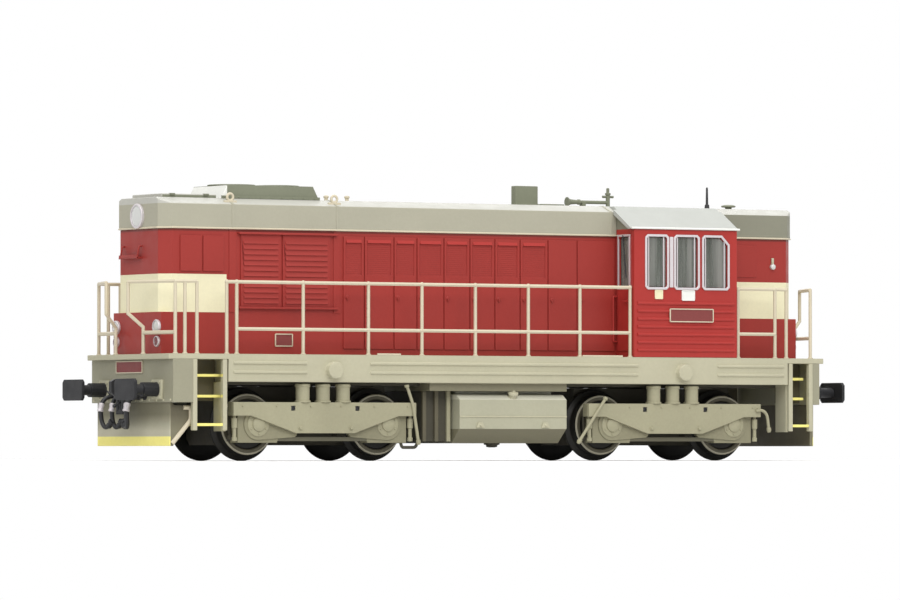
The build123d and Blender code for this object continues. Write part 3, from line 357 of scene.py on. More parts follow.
def box_paint(last_rib=1.0, wall=11.6):
    """Dark housing with lighter ribs, all but the last of them in painted shade, so the last is the lightest."""
    look = Look("box_paint")
    last = look.above("X", where("equipment_box")[1].x - last_rib)
    ribs = look.mix(last, RECESS_SHADE, BOGIE)
    return look.finish(look.mix(look.outside("Y", wall), DARK, ribs), 0.6, tone=0.08)


def tank_paint(upper_bevel=0.95, lower_bevel=2.65):
    """Beige tank with a painted highlight on its upper bevel and painted shade on its lower one."""
    look = Look("tank_paint")
    upper = look.above("Z", TANK_TOP - upper_bevel)
    lower = look.below("Z", TANK_LOW.z + lower_bevel)
    return look.finish(look.mix(lower, look.mix(upper, TANK, TANK_HIGHLIGHT), SHADED), 0.5)


def bogie_side_paint(middle=9.5, face=14.1):
    """Beige side frames whose axle boxes behind the face are darker, and the tie bars darker still, as painted
    shade.
    """
    look = Look("bogie_side_paint")
    middles = [look.between("X", pivot.x - middle, pivot.x + middle) for pivot in PIVOTS.values()]
    behind = look.mix(look.either(*middles), BOGIE_SHADE, TIE_BAR_SHADE)
    return look.finish(look.mix(look.outside("Y", face), behind, BOGIE), 0.6, tone=0.06)


def cowl_paint(slope=1.25):
    """Olive cowl with a painted highlight in white on its slope towards the nose."""
    look = Look("cowl_paint")
    return look.finish(look.mix(look.below("X", COWL_LOW.x + slope), OLIVE, WHITE), 0.55, tone=0.05)


def cab_wall_paint():
    """End walls of the cab in the red brightened as painted light, with grey gables over the eaves."""
    look = Look("cab_wall_paint")
    return look.finish(look.mix(look.above("Z", EAVE), LIT_CAB_RED, ROOF_SHADED), 0.45, tone=0.03)


def tyre_metal(name, centre, edge=5.3, face=9.84):
    """Flange and tread near black and a dull, darkened face, all painted shade, with a bright edge between them.
    """
    look = Look(name)
    along = look.math("SUBTRACT", look.axis["X"], centre.x * MM)
    up = look.math("SUBTRACT", look.axis["Z"], centre.z * MM)
    squares = [look.math("MULTIPLY", way, way) for way in (along, up)]
    radius = look.math("SQRT", look.math("ADD", *squares))
    rim = look.mix(look.math("GREATER_THAN", radius, edge * MM), TYRE_FACE, STEEL)
    return look.finish(look.mix(look.outside("Y", face), TREAD, rim), 0.45, tone=0.08, metal=0.2)


def roof_paint(name, band, skin=0.02):
    """A roof whose top and slopes carry a painted highlight, paler than the band along its sides."""
    look = Look(name)
    return look.finish(look.mix(look.above("Z", BAND_TOP + skin), band, ROOF_HIGHLIGHT), 0.5, tone=0.03)


def hatch_paint(lid=0.2, skin=0.15):
    """Painted highlight on top and at the nose, and olive grey along the sides as painted shade."""
    look = Look("hatch_paint")
    low, high = where("roof_hatch")
    highlit = look.either(look.above("Z", high.z - lid), look.below("X", low.x + skin))
    return look.finish(look.mix(highlit, OLIVE, ROOF_HIGHLIGHT), 0.5, tone=0.04)


def glazing(paler_span=(7.0, 1.5), streak=(900.0, 900.0, 28.0)):
    """Clear plastic, paler towards the rear, with pale streaks that are painted reflections."""
    look = Look("glazing")
    reflection_streaks = look.spread(look.noise(1.0, 2.0, streak), 0.0, 1.0)
    paler = look.ramp("X", *(CAB_REAR - distance for distance in paler_span))
    clear = look.mix(paler, GLAZING_CLEAR, GLAZING_PALE)
    look.feed(look.mix(reflection_streaks, clear, GLAZING_REFLECTION), look.shader.inputs["Base Color"])
    look.feed(look.spread(look.noise(500.0), 0.03, 0.09), look.shader.inputs["Roughness"])
    look.shader.inputs["Transmission Weight"].default_value = 0.62
    look.shader.inputs["IOR"].default_value = 1.2
    return look.material


BODY_PAINT = body_paint()
FRAME_PAINT = paint("frame_paint", BEIGE, 0.55)
RAIL_PAINT = paint("rail_paint", RAIL, 0.5)
BOGIE_PAINT = paint("bogie_paint", BOGIE, 0.6, tone=0.06)
BOGIE_SIDE_PAINT = bogie_side_paint()
AXLE_ARM_SHADE_PAINT = paint("axle_arm_shade_paint", BOGIE_SHADE, 0.6, tone=0.08)
DARK_PAINT = paint("dark_paint", DARK, 0.65, tone=0.1)
ROOF_PAINT = paint("roof_paint", ROOF, 0.5, tone=0.03)
ROOF_LIGHT = paint("roof_light_paint", RAIL, 0.5, tone=0.03)
LIT_CAB_PAINT = paint("lit_cab_paint", LIT_CAB_RED, 0.45, tone=0.03)
CAB_WALL_PAINT = cab_wall_paint()
OLIVE_PAINT = paint("olive_paint", OLIVE, 0.55, tone=0.05)
BLACK_PLASTIC = paint("black_plastic", BLACK, 0.45, tone=0.12, gloss=0.4)
SILVER_METAL = paint("silver_metal", SILVER, 0.38, tone=0.04, metal=0.35)
STEEL_METAL = paint("steel_metal", STEEL, 0.36, tone=0.08, metal=0.8)
DISC_PAINT = paint("wheel_disc_paint", DISC, 0.55, tone=0.08)
LENS_GLASS = paint("lens_glass", LENS, 0.12, tone=0.03, grain=0.004, coat=0.7)
TAIL_GLASS = paint("tail_glass", TAIL, 0.14, tone=0.06, grain=0.004, coat=0.7)
WHITE_PAINT = paint("white_paint", WHITE, 0.5, tone=0.02)
CREAM_PAINT = paint("cream_paint", CREAM, 0.5, tone=0.02)
PLATE_PAINT = paint("plate_paint", PLATE_RED, 0.5, tone=0.06)

# The look of each material slot
LOOKS = {
    "body_red": BODY_PAINT,
    "frame_beige": FRAME_PAINT,
    "bogie_beige": BOGIE_PAINT,
    "underframe_grey": DARK_PAINT,
    "roof_grey": ROOF_PAINT,
    "cab_roof_grey": paint("cab_roof_paint", CAB_ROOF, 0.5, tone=0.025),
    "olive_grey": OLIVE_PAINT,
    "black_plastic": BLACK_PLASTIC,
    "window_metal": SILVER_METAL,
    "clear_glazing": glazing(),
    "cab_interior": paint("cab_interior", INTERIOR, 0.7),
    "lamp_lens": LENS_GLASS,
    "wheel_steel": STEEL_METAL,
    "drive_metal": paint("drive_metal", DIE_CAST, 0.6, tone=0.1),
}
# Looks and edge widths of nodes that differ from the rest, by the start of their names
SPECIAL = {
    "frame": deck_paint(),
    "equipment_box": box_paint(),
    "roof_hatch": hatch_paint(),
    "fuel_tank": tank_paint(),
    "fan_cowl": cowl_paint(),
    "hood_long_roof": roof_paint("long_roof_paint", ROOF),
    "hood_short_roof": roof_paint("short_roof_paint", ROOF_SHADED),
    "cab_side": LIT_CAB_PAINT,
    "cab_doors": LIT_CAB_PAINT,
    "cab_front_wall": CAB_WALL_PAINT,
    "cab_rear_wall": CAB_WALL_PAINT,
    "handrail": RAIL_PAINT,
    "end_rail": RAIL_PAINT,
    "steps": step_paint(),
    "plough": plough_paint(),
    "buffers": buffer_paint(),
    "bogie_front_sides": BOGIE_SIDE_PAINT,
    "bogie_rear_sides": BOGIE_SIDE_PAINT,
    "headstock": paint("headstock_shade_paint", SHADED_END_BEIGE, 0.55),
}
EDGE = {"handrail": 0.16, "end_rail": 0.16, "cab_glass": 0.03, "fan_cowl": 0.15,
        "buffers": 0.1, "hood_doors": 0.06, "radiator_louvres": 0.05, "cab_window_frames": 0.08}
USUAL_EDGE = 0.12


def wear(obj, material):
    obj.data.materials.clear()
    obj.data.materials.append(material)


def soften(obj, width):
    """Rounds the edges and gives flat faces flat normals."""
    weld = obj.modifiers.new("weld", "WELD")
    weld.merge_threshold = 0.001 * MM
    bevel = obj.modifiers.new("edges", "BEVEL")
    bevel.width = width * MM
    bevel.segments = 2
    bevel.limit_method = "ANGLE"
    bevel.angle_limit = math.radians(28)
    normals = obj.modifiers.new("normals", "WEIGHTED_NORMAL")
    normals.weight = 100


def by_start(table, name, usual):
    """The entry of a table whose key a name starts with."""
    return next((entry for start, entry in table.items() if name.startswith(start)), usual)


SLOT_OF = {part["node"]: part["material_slot"] for part in frame["record"]["subparts"]}
for name, node in NODES.items():
    wear(node, by_start(SPECIAL, name, LOOKS[SLOT_OF[name]]))
    soften(node, by_start(EDGE, name, USUAL_EDGE))


# Mesh building

def added(name, data):
    """A new object in the scene."""
    thing = bpy.data.objects.new(name, data)
    bpy.context.scene.collection.objects.link(thing)
    return thing


class Piece:
    """A mesh under construction, made of closed shells."""

    def __init__(self):
        self.points = []
        self.faces = []

    def loft(self, rings, closed=False):
        """A shell through rings of equally many points, capped at its ends or joined into a loop."""
        start, count = len(self.points), len(rings[0])
        self.points += [Vector(point) for ring in rings for point in ring]
        rows = range(len(rings)) if closed else range(len(rings) - 1)
        for row in rows:
            here = start + row * count
            there = start + (row + 1) % len(rings) * count
            for k in range(count):
                after = (k + 1) % count
                self.faces.append((here + k, here + after, there + after, there + k))
        if not closed:
            last = start + (len(rings) - 1) * count
            self.faces.append(tuple(range(start, start + count)))
            self.faces.append(tuple(range(last, last + count)))
        return self

    def block(self, x, y, z):
        """A box between two values on each axis, in either order."""
        plan = [(x[0], y[0]), (x[1], y[0]), (x[1], y[1]), (x[0], y[1])]
        return self.loft([[(*corner, height) for corner in plan] for height in z])

    def bar(self, section, ends):
        """A bar along X between two ends, with a section in Y and Z."""
        return self.loft([[(x, y, z) for y, z in section] for x in ends])

    def slab(self, outline, depth):
        """A slab across Y between two depths, with an outline in X and Z."""
        return self.loft([[(x, y, z) for x, z in outline] for y in depth])

    def turned(self, foot, way, profile, sides=32):
        """A turned shell: the profile is (distance along the axis, radius) from end to end."""
        way = Vector(way).normalized()
        across = way.orthogonal().normalized()
        return self.loft([circle(Vector(foot) + way * along, way, across, radius, sides)
                          for along, radius in profile])

    def tube(self, route, radius, sides=10, closed=False):
        """A round bar along a route, carried round its bends without a twist."""
        route = [Vector(point) for point in route]
        count, across, rings = len(route), None, []
        for k, point in enumerate(route):
            before = route[k - 1] if closed or k else point
            after = route[(k + 1) % count] if closed or k < count - 1 else point
            way = (after - before).normalized()
            across = (way.orthogonal() if across is None else across - way * across.dot(way)).normalized()
            rings.append(circle(point, way, across, radius, sides))
        return self.loft(rings, closed)

    def ring(self, centre, way, radius, thick, sides=40):
        """A round wire bent into a circle."""
        route = circle(Vector(centre), way, way.orthogonal().normalized(), radius, sides)
        return self.tube(route, thick, 8, closed=True)

    def bolt(self, foot, way, radius, sides=6):
        """A bolt head on a washer."""
        profile = ((0, 1.5), (0.25, 1.5), (0.3, 1.0), (0.95, 1.0), (1.1, 0.8))
        return self.turned(foot, way, [(along * radius, wide * radius) for along, wide in profile], sides)

    def both_sides(self):
        """The same shells once more on the other side of the model."""
        count = len(self.points)
        self.points += [Vector((x, -y, z)) for x, y, z in self.points]
        self.faces += [tuple(count + k for k in face) for face in self.faces]
        return self

    def done(self, name, look, slot, body="body", edge=0.0):
        """Turn the shells into an object that rides on a body."""
        mesh = bpy.data.meshes.new(name)
        mesh.from_pydata([point * MM for point in self.points], [], self.faces)
        work = bmesh.new()
        work.from_mesh(mesh)
        bmesh.ops.recalc_face_normals(work, faces=work.faces)
        work.to_mesh(mesh)
        work.free()
        mesh.polygons.foreach_set("use_smooth", [True] * len(mesh.polygons))
        mesh.set_sharp_from_angle(angle=math.radians(32))
        mesh.materials.append(look)
        piece = added(name, mesh)
        if edge:
            soften(piece, edge)
        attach(piece, body)
        return piece


def rounded(points, radius, steps=6):
    """A route whose corners are turned into smooth bends."""
    points = [Vector(point) for point in points]
    route = [points[0]]
    for before, corner, after in zip(points, points[1:], points[2:]):
        start = corner + (before - corner).normalized() * radius
        stop = corner + (after - corner).normalized() * radius
        for k in range(steps + 1):
            t = k / steps
            route.append(start.lerp(corner, t).lerp(corner.lerp(stop, t), t))
    return route + [points[-1]]


# Hoods and roof

def hood_seams(width=1.5, proud=0.14):
    """Cover strips over the joints in the long hood's sides."""
    strips = Piece()
    for x in SEAMS:
        strips.block(around(x, width), (HOOD_HALF, HOOD_HALF + proud), (HOOD_BASE_TOP, HOOD_TOP))
    strips.both_sides().done("hood_seam_strips", BODY_PAINT, "body_red", edge=0.05)


def roof_seams(width=0.45, proud=0.09, before_cab=1.3):
    """Straps that follow the roof's cross-section over its joints."""
    side = BAND_HALF + proud
    half = [(side, HOOD_TOP), (side, BAND_TOP + proud), (ROOF_FLAT, ROOF_TOP + proud)]
    section = half + [(-y, z) for y, z in reversed(half)]
    straps = Piece()
    for x in (*SEAMS, CAB_FRONT - before_cab):
        straps.bar(section, around(x, width))
    straps.done("roof_seam_straps", ROOF_PAINT, "roof_grey", edge=0.04)


def roof_beads(radius=0.17):
    """The light bead under the roof band of both hoods, round their bevelled corners."""
    beads = Piece()
    for end, sign in ENDS.items():
        bevel = [(BAND_END - CORNER_BEVEL, BAND_HALF), (BAND_END, BAND_HALF - CORNER_BEVEL)]
        half = [(CAB_ENDS[end], BAND_HALF)] + [(sign * x, y) for x, y in bevel]
        plan = half + [(x, -y) for x, y in reversed(half)]
        beads.tube([(x, y, HOOD_TOP + radius) for x, y in plan], radius)
    beads.done("roof_band_beads", ROOF_LIGHT, "roof_grey")


def lifting_lugs(inset=1.1, width=2.6, height=0.75, eye=0.62, thick=0.26):
    """Lugs with an eye on the slope of the long hood's roof."""
    y, top = BAND_HALF - inset, BAND_TOP + height
    lugs = Piece()
    for x in SEAMS:
        lugs.block(around(x, width), around(y, 2 * thick), (BAND_TOP, top))
        lugs.ring((x, y, top + eye), ACROSS, eye, thick, 28)
    lugs.both_sides().done("roof_lifting_lugs", ROOF_LIGHT, "roof_grey", edge=0.06)


def fan_guards(wire=0.13, rings=(1.3, 2.1, 2.9, 3.7, 4.35), spokes=8, spacing=9.4):
    """Wire guards over both fans."""
    guards = Piece()
    for x in around((COWL_LOW.x + COWL_HIGH.x) / 2, spacing):
        centre = Vector((x, 0, COWL_HIGH.z + wire))
        for radius in rings:
            guards.ring(centre, UP, radius, wire, 48)
        ends = [circle(centre, UP, ALONG, radius, spokes) for radius in (rings[0], rings[-1])]
        for spoke in zip(*ends):
            guards.tube(spoke, wire, 8)
    guards.done("fan_guards", OLIVE_PAINT, "olive_grey")


def cowl_flanges(width=0.5, bolts=9, head=0.1, inset=1.2):
    """Flanges along the foot of the fan cowl, with bolts."""
    face = COWL_HIGH.y + width / 2
    flanges = Piece()
    flanges.block((COWL_LOW.x, COWL_HIGH.x), (COWL_HIGH.y, face), (ROOF_TOP, ROOF_TOP + width))
    for x in spaced(COWL_LOW.x + inset, COWL_HIGH.x - inset, bolts):
        flanges.bolt((x, face, ROOF_TOP + width / 2), ACROSS, head)
    flanges.both_sides().done("fan_cowl_flanges", OLIVE_PAINT, "olive_grey", edge=0.05)


def hatch_fittings(inset=2.2, hinge=1.8, pin=0.22, drop=0.2, catch=1.0, catch_y=(-0.3, 0.4),
                   catch_z=(-0.25, 0.08)):
    """Hinges and catches along the sides of the roof hatch."""
    low, high = where("roof_hatch")
    fittings = Piece()
    for x in (low.x + inset, high.x - inset):
        fittings.tube([(end, high.y, high.z - drop) for end in around(x, hinge)], pin)
        fittings.block(around(x, catch), [low.y + y for y in catch_y], [high.z + z for z in catch_z])
    fittings.done("roof_hatch_fittings", OLIVE_PAINT, "roof_grey")


# Turned shapes on the roof: distance along the axis and radius, from the foot to the tip
ROOF_KNOB = ((0, 0.62), (0.2, 0.62), (0.3, 0.36), (0.7, 0.36), (0.8, 0.52), (1.05, 0.52), (1.2, 0.3))
VENT_CAP = ((0, 0.95), (0.12, 0.95), (0.2, 0.66), (0.55, 0.66), (0.6, 1.3), (0.72, 1.42), (0.9, 1.36),
            (1.04, 0.9), (1.1, 0.3))
AERIAL_MAST = ((0, 0.8), (0.2, 0.8), (0.3, 0.5), (1.0, 0.42), (1.1, 0.26), (4.2, 0.2), (4.4, 0.08))
HORN_BELL = ((0, 0.9), (0.12, 0.92), (0.35, 0.72), (0.8, 0.52), (1.8, 0.42), (2.4, 0.4), (2.5, 0.52),
             (2.9, 0.52), (3.0, 0.34))
WHISTLE = ((0, 0.7), (0.25, 0.7), (0.35, 0.4), (2.4, 0.4), (2.5, 0.55), (2.8, 0.55), (2.9, 0.3), (3.7, 0.3),
           (3.8, 0.15))


def roof_turnings(knob_inset=0.5):
    """Round fittings on the roof: lifting knobs, vent and aerial, each for its faceted CAD solid."""
    low, high = where("lifting_eyes")
    knobs = Piece()
    for x in (low.x + knob_inset, high.x - knob_inset):
        knobs.turned((x, 0, ROOF_TOP), UP, ROOF_KNOB, 24)
    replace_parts(knobs.done("roof_knobs", ROOF_LIGHT, "roof_grey"), "lifting_eyes")

    low, high = where("roof_vent")
    vent = Piece().turned(((low.x + high.x) / 2, 0, ROOF_TOP), UP, VENT_CAP)
    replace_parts(vent.done("roof_vent_cap", OLIVE_PAINT, "olive_grey"), "roof_vent")

    low, high = where("aerial")
    mast = Piece().turned(((low.x + high.x) / 2, 0, ROOF_TOP), UP, AERIAL_MAST, 20)
    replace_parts(mast.done("aerial_mast", BLACK_PLASTIC, "black_plastic"), "aerial")


def horn(rise=1.0, pipe=0.34, bracket=(3.2, 4.0), whistle_inset=1.2, cross_bar=2.4, cross_rise=2.1):
    """Horn with a flared bell, its bracket and the whistle behind it."""
    low, high = where("horns")
    pipe_z, whistle_x = ROOF_TOP + rise, high.x - whistle_inset
    horns = Piece()
    horns.turned((low.x, 0, pipe_z), ALONG, (*HORN_BELL, (whistle_x - low.x, pipe)), 28)
    horns.block([low.x + place for place in bracket], around(0, 1.0), (ROOF_TOP, pipe_z))
    horns.turned((whistle_x, 0, ROOF_TOP), UP, WHISTLE, 24)
    horns.tube([(x, 0, ROOF_TOP + cross_rise) for x in around(whistle_x, cross_bar)], 0.24)
    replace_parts(horns.done("horn_and_whistle", OLIVE_PAINT, "olive_grey"), "horns")


# Course of the nose step's stays: way out from the hood and height over the tread
STAY = ((0.0, 2.3), (0.5, 2.3), (0.9, 0.2))


def nose_step(z=37.2, y=(-1.1, 5.8), sunk=0.4, reach=1.1, tread=0.3, lip=(0.25, 0.7), inset=0.2,
              stay=0.16, bend=0.3):
    """Foothold on the long hood's nose: a tread with a lip, on two stays."""
    nose = sunk - HOOD_END
    front = nose - reach
    step = Piece()
    step.block((nose, front), y, (z, z + tread))
    step.block((front, front + lip[0]), y, (z, z + lip[1]))
    for place in (y[0] + inset, y[1] - inset):
        step.tube(rounded([(nose - out, place, z + up) for out, up in STAY], bend), stay)
    step.done("nose_foothold", BODY_PAINT, "body_red", edge=0.05)


def door_edges(name):
    """Both edges of each door on one side of the long hood."""
    node = f"hood_doors_{name}"
    joints = sorted({round(point.x, 1) for point in vertices_at(node, where(node)[0].z)})
    return list(zip(joints[::2], joints[1::2]))


def door_face(name):
    """Distance of the doors' face from the middle."""
    return max(abs(corner.y) for corner in where(f"hood_doors_{name}"))


def door_grilles(grilled=8, margin=0.6, drops=(8.1, 2.1), slats=16, recess=0.2, lip=0.6, overhang=0.18):
    """Fine slats in the recessed fields of the doors, with a sloping drip lip over each field in the brighter cab
    red, a painted highlight.
    """
    foot, head = (HOOD_TOP - drop for drop in drops)
    pitch = (head - foot) / slats
    for name, side in SIDES.items():
        grilles, lips = Piece(), Piece()
        face = door_face(name)
        floor = face - recess
        tip = floor + recess / 3
        lip_section = ((floor, head), (face + overhang, head), (face, head + lip), (floor, head + lip))
        slat_section = ((floor, 0), (tip, 0), (tip, pitch / 4), (floor, pitch))
        for start, stop in door_edges(name)[:grilled]:
            ends = (start + margin, stop - margin)
            lips.bar([(side * y, z) for y, z in lip_section], ends)
            for row in range(slats):
                up = foot + row * pitch
                grilles.bar([(side * y, up + z) for y, z in slat_section], ends)
        grilles.done(f"hood_door_grilles_{name}", BODY_PAINT, "body_red")
        # The drip lips wear the brighter cab red as a painted highlight.
        lips.done(f"hood_door_lips_{name}", LIT_CAB_PAINT, "body_red")


def louvre_ledges(proud=0.8, over=(0.6, 1.5), thick=0.4):
    """Ledges under and over the radiator louvres."""
    ledges = Piece()
    for name, side in SIDES.items():
        low, high = where(f"radiator_louvres_{name}")
        x, y = (low.x - over[0], high.x + over[1]), (side * HOOD_HALF, side * (HOOD_HALF + proud))
        ledges.block(x, y, (low.z - thick, low.z))
        ledges.block(x, y, (high.z, high.z + thick))
    ledges.done("radiator_louvre_ledges", BODY_PAINT, "body_red", edge=0.08)


DOOR_LATCH = ((0, 0.42), (0.12, 0.42), (0.16, 0.25), (0.22, 0.25))


def door_latches(z=30.4, inset=0.75, grip=0.28, grip_out=(0.14, 0.3), grip_up=(-0.55, 0.3)):
    """Turn latches on the doors of the long hood."""
    latches = Piece()
    for name, side in SIDES.items():
        face = door_face(name)
        grip_y = [side * (face + out) for out in grip_out]
        for start, _ in door_edges(name):
            x = start + inset
            latches.turned((x, side * face, z), side * ACROSS, DOOR_LATCH, 20)
            latches.block(around(x, grip), grip_y, [z + up for up in grip_up])
    latches.done("hood_door_latches", BODY_PAINT, "body_red", edge=0.04)


def short_hood_panels(proud=0.14, reach=(2.0, 8.6), over_cream=0.9, under_roof=1.2):
    """Access panels on the sides of the short hood."""
    x = [CAB_REAR + place for place in reach]
    panels = Piece()
    panels.block(x, (HOOD_HALF, HOOD_HALF + proud), (CREAM_TOP + over_cream, HOOD_TOP - under_roof))
    panels.both_sides().done("short_hood_panels", BODY_PAINT, "body_red", edge=0.05)


SIDE_LAMP = ((0, 0.52), (0.5, 0.52), (0.6, 0.42), (0.68, 0.18))


def short_hood_lamp(inset=5.55, z=37.3, width=0.5, thick=0.35, height=1.7):
    """Small lamp under its bracket on the near side of the short hood."""
    x, wall = HOOD_END - inset, NEAR * HOOD_HALF
    bracket = Piece().block(around(x, width), (wall, wall + NEAR * thick), (z, z + height))
    bracket.done("short_hood_lamp_bracket", FRAME_PAINT, "frame_beige", edge=0.06)
    glass = Piece().turned((x, wall, z), NEAR * ACROSS, SIDE_LAMP, 24)
    glass.done("short_hood_lamp", LENS_GLASS, "lamp_lens")


# Lamps: distance from the hood's sides, height over the deck, radius and reach out of the hood's end
HEADLAMP = {"inset": 1.4, "up": 5.0, "radius": 1.3, "reach": 0.45}
TAIL_LAMP = {"inset": 1.4, "up": 2.3, "radius": 1.0, "reach": 0.4}
TOP_LAMP = {"inset": HOOD_HALF, "up": HOOD_TOP + 2.4 - DECK, "radius": 2.3, "reach": 0.5}


def lamp(rims, glass, face, sign, inset, up, radius, reach):
    """A rim with a groove behind it, and a domed glass, for each place of a lamp."""
    opening = radius * 0.88 - 0.06
    pane = opening - 0.02
    rim = ((0, radius), (reach - 0.1, radius), (reach, radius - 0.08), (reach, opening),
           (reach - 0.22, opening - 0.03))
    dome = ((0.05, pane), (reach - 0.18, pane), (reach - 0.08, opening * 0.8), (reach - 0.02, opening * 0.45),
            (reach, 0.08))
    for y in {inset - HOOD_HALF, HOOD_HALF - inset}:
        foot = (sign * face, y, DECK + up)
        rims.turned(foot, sign * ALONG, rim, 40)
        glass.turned(foot, sign * ALONG, dome, 40)


def lamps():
    """Lamps of both ends: bright rims, clear glasses and red tail glasses."""
    for end, sign in ENDS.items():
        rims, clear, tail = Piece(), Piece(), Piece()
        lamp(rims, clear, HOOD_END, sign, **HEADLAMP)
        lamp(rims, tail, HOOD_END, sign, **TAIL_LAMP)
        lamp(rims, clear, BAND_END, sign, **TOP_LAMP)
        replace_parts(rims.done(f"lamp_rims_{end}", SILVER_METAL, "window_metal"), f"lamps_{end}")
        clear.done(f"lamp_glasses_{end}", LENS_GLASS, "lamp_lens")
        tail.done(f"tail_lamp_glasses_{end}", TAIL_GLASS, "lamp_lens")


hood_seams()
roof_seams()
roof_beads()
lifting_lugs()
fan_guards()
cowl_flanges()
hatch_fittings()
roof_turnings()
horn()
nose_step()
door_grilles()
louvre_ledges()
door_latches()
short_hood_panels()
short_hood_lamp()
lamps()


# Cab

# Section of a rib: share of its depth, height
RIB = ((0.0, 0.36), (0.7, 0.22), (1.0, 0.0), (0.7, -0.22), (0.0, -0.36))


def cab_ribs(first=20.95, count=7, pitch=1.48, proud=0.3, inset=0.7):
    """Rounded ribs pressed into the cab's sides under the windows."""
    for name, side in SIDES.items():
        ribs = Piece()
        for row in range(count):
            z = first + row * pitch
            section = [(side * (CAB_HALF + out * proud), z + up) for out, up in RIB]
            ribs.bar(section, (CAB_FRONT + inset, CAB_REAR - inset))
        ribs.done(f"cab_side_ribs_{name}", LIT_CAB_PAINT, "body_red")


def cab_gutters(radius=0.2, lap=0.05):
    """Rain gutters along the eaves."""
    low, high = where("cab_roof")
    gutters = Piece().tube([(x, high.y - lap, EAVE + radius) for x in (low.x, high.x)], radius)
    gutters.both_sides().done("cab_gutters", WHITE_PAINT, "cab_roof_grey")


def side_window_bars(bar=0.22, corner=0.3, frame_width=0.62, insets=(0.35, 0.75), depths=(0.24, 0.02)):
    """A post between the first two side windows and the bars of the sliding panes."""
    sills = sorted({round(point.x, 2) for point in vertices_at("cab_side_left", WINDOW_FOOT)})
    edges = [(start - corner, stop + corner) for start, stop in zip(sills[::2], sills[1::2])]
    post = (edges[0][1] + frame_width, edges[1][0] - frame_width)
    height = (WINDOW_FOOT, WINDOW_HEAD)
    behind = [CAB_HALF - depth for depth in depths]
    metal = Piece().block(post, (CAB_HALF, where("cab_window_frames")[1].y), height)
    for start, stop in edges:
        for x in (start + insets[0], stop - insets[1]):
            metal.block((x, x + bar), behind, height)
    metal.both_sides().done("side_window_bars", SILVER_METAL, "window_metal", edge=0.04)


# Arm and blade of a wiper: radius, then way out from the window's middle and height over its foot
WIPER = {0.09: ((0.0, 9.9), (0.9, 3.4)), 0.13: ((0.5, 6.6), (1.2, 1.8))}


def end_window_frames(width=0.4, proud=0.3, insets=(1.2, 1.6), wiper_gap=0.16):
    """Frames round the windows of the cab's end walls, with a wiper on each."""
    inner, outer = HOOD_HALF + insets[0], CAB_HALF - insets[1]
    middle = (inner + outer) / 2
    frames, wipers = Piece(), Piece()
    for end, wall in CAB_ENDS.items():
        depth = (wall, wall + ENDS[end] * proud)
        for z, out in ((WINDOW_FOOT, -width), (WINDOW_HEAD, width)):
            frames.block(depth, (inner - width, outer + width), (z, z + out))
        for y, out in ((inner, -width), (outer, width)):
            frames.block(depth, (y, y + out), (WINDOW_FOOT, WINDOW_HEAD))
        tip = wall + ENDS[end] * (proud + wiper_gap)
        for radius, course in WIPER.items():
            wipers.tube([(tip, middle + out, WINDOW_FOOT + up) for out, up in course], radius, 6)
    frames.both_sides().done("end_window_frames", SILVER_METAL, "window_metal", edge=0.05)
    wipers.both_sides().done("window_wipers", BLACK_PLASTIC, "black_plastic")


DOOR_HANDLE = ((0, 0.4), (0.15, 0.4), (0.2, 0.2), (0.55, 0.2))


# Course of a door's grab iron: way out from the wall and height over the deck
GRAB_IRON = ((0.0, 3.0), (0.95, 3.0), (0.95, 11.6), (0.0, 11.6))


def door_fittings(bar=0.17, bend=0.4, beside_hood=0.45, handle_place=(0.25, 1.9, 10.6), handle=0.5,
                  grip=(0.1, 1.3)):
    """A handle and a grab iron at each of the two cab doors."""
    out, inset, rise = handle_place
    irons = Piece()
    for (end, wall), side in zip(CAB_ENDS.items(), (NEAR, -NEAR)):
        sign = ENDS[end]
        y = side * (HOOD_HALF + beside_hood)
        irons.tube(rounded([(wall + sign * way, y, DECK + up) for way, up in GRAB_IRON], bend), bar)
        foot = Vector((wall + sign * out, side * (CAB_HALF - inset), DECK + rise))
        irons.turned(foot, sign * ALONG, DOOR_HANDLE, 20)
        tip = foot + sign * handle * ALONG
        irons.tube([tip + side * grip[0] * ACROSS, tip - side * grip[1] * ACROSS], bar)
    irons.done("cab_door_irons", LIT_CAB_PAINT, "body_red")


GAUGE = ((0, 0.62), (0.2, 0.62), (0.26, 0.5), (0.2, 0.46), (0.2, 0.05))
LEVER = ((0, 0.5), (0.4, 0.5), (0.5, 0.14), (1.7, 0.14), (1.8, 0.34), (2.1, 0.34), (2.2, 0.15))
HAND_WHEEL_BOSS = ((0, 0.3), (0.7, 0.2), (0.8, 0.1))


def cab_inside(gauges=(-2.6, 2.65, 4), drop=1.6, inset=2.0, lever_y=-1.6, wheel_y=1.6, wheel_rise=0.7):
    """Gauges, a lever and a hand wheel on both sides of the desk, as seen through the windows."""
    low, high = where("cab_desk")
    dials, levers = Piece(), Piece()
    for edge, sign in ((low.x, -1), (high.x, 1)):
        for y in spaced(*gauges):
            dials.turned((edge, y, high.z - drop), sign * ALONG, GAUGE, 24)
        x = edge - sign * inset
        levers.turned((x, lever_y, high.z), UP, LEVER, 20)
        levers.ring((x, wheel_y, high.z + wheel_rise), UP, 0.95, 0.15, 32)
        levers.turned((x, wheel_y, high.z), UP, HAND_WHEEL_BOSS, 16)
    dials.done("desk_gauges", SILVER_METAL, "window_metal")
    levers.done("desk_levers", BLACK_PLASTIC, "black_plastic")


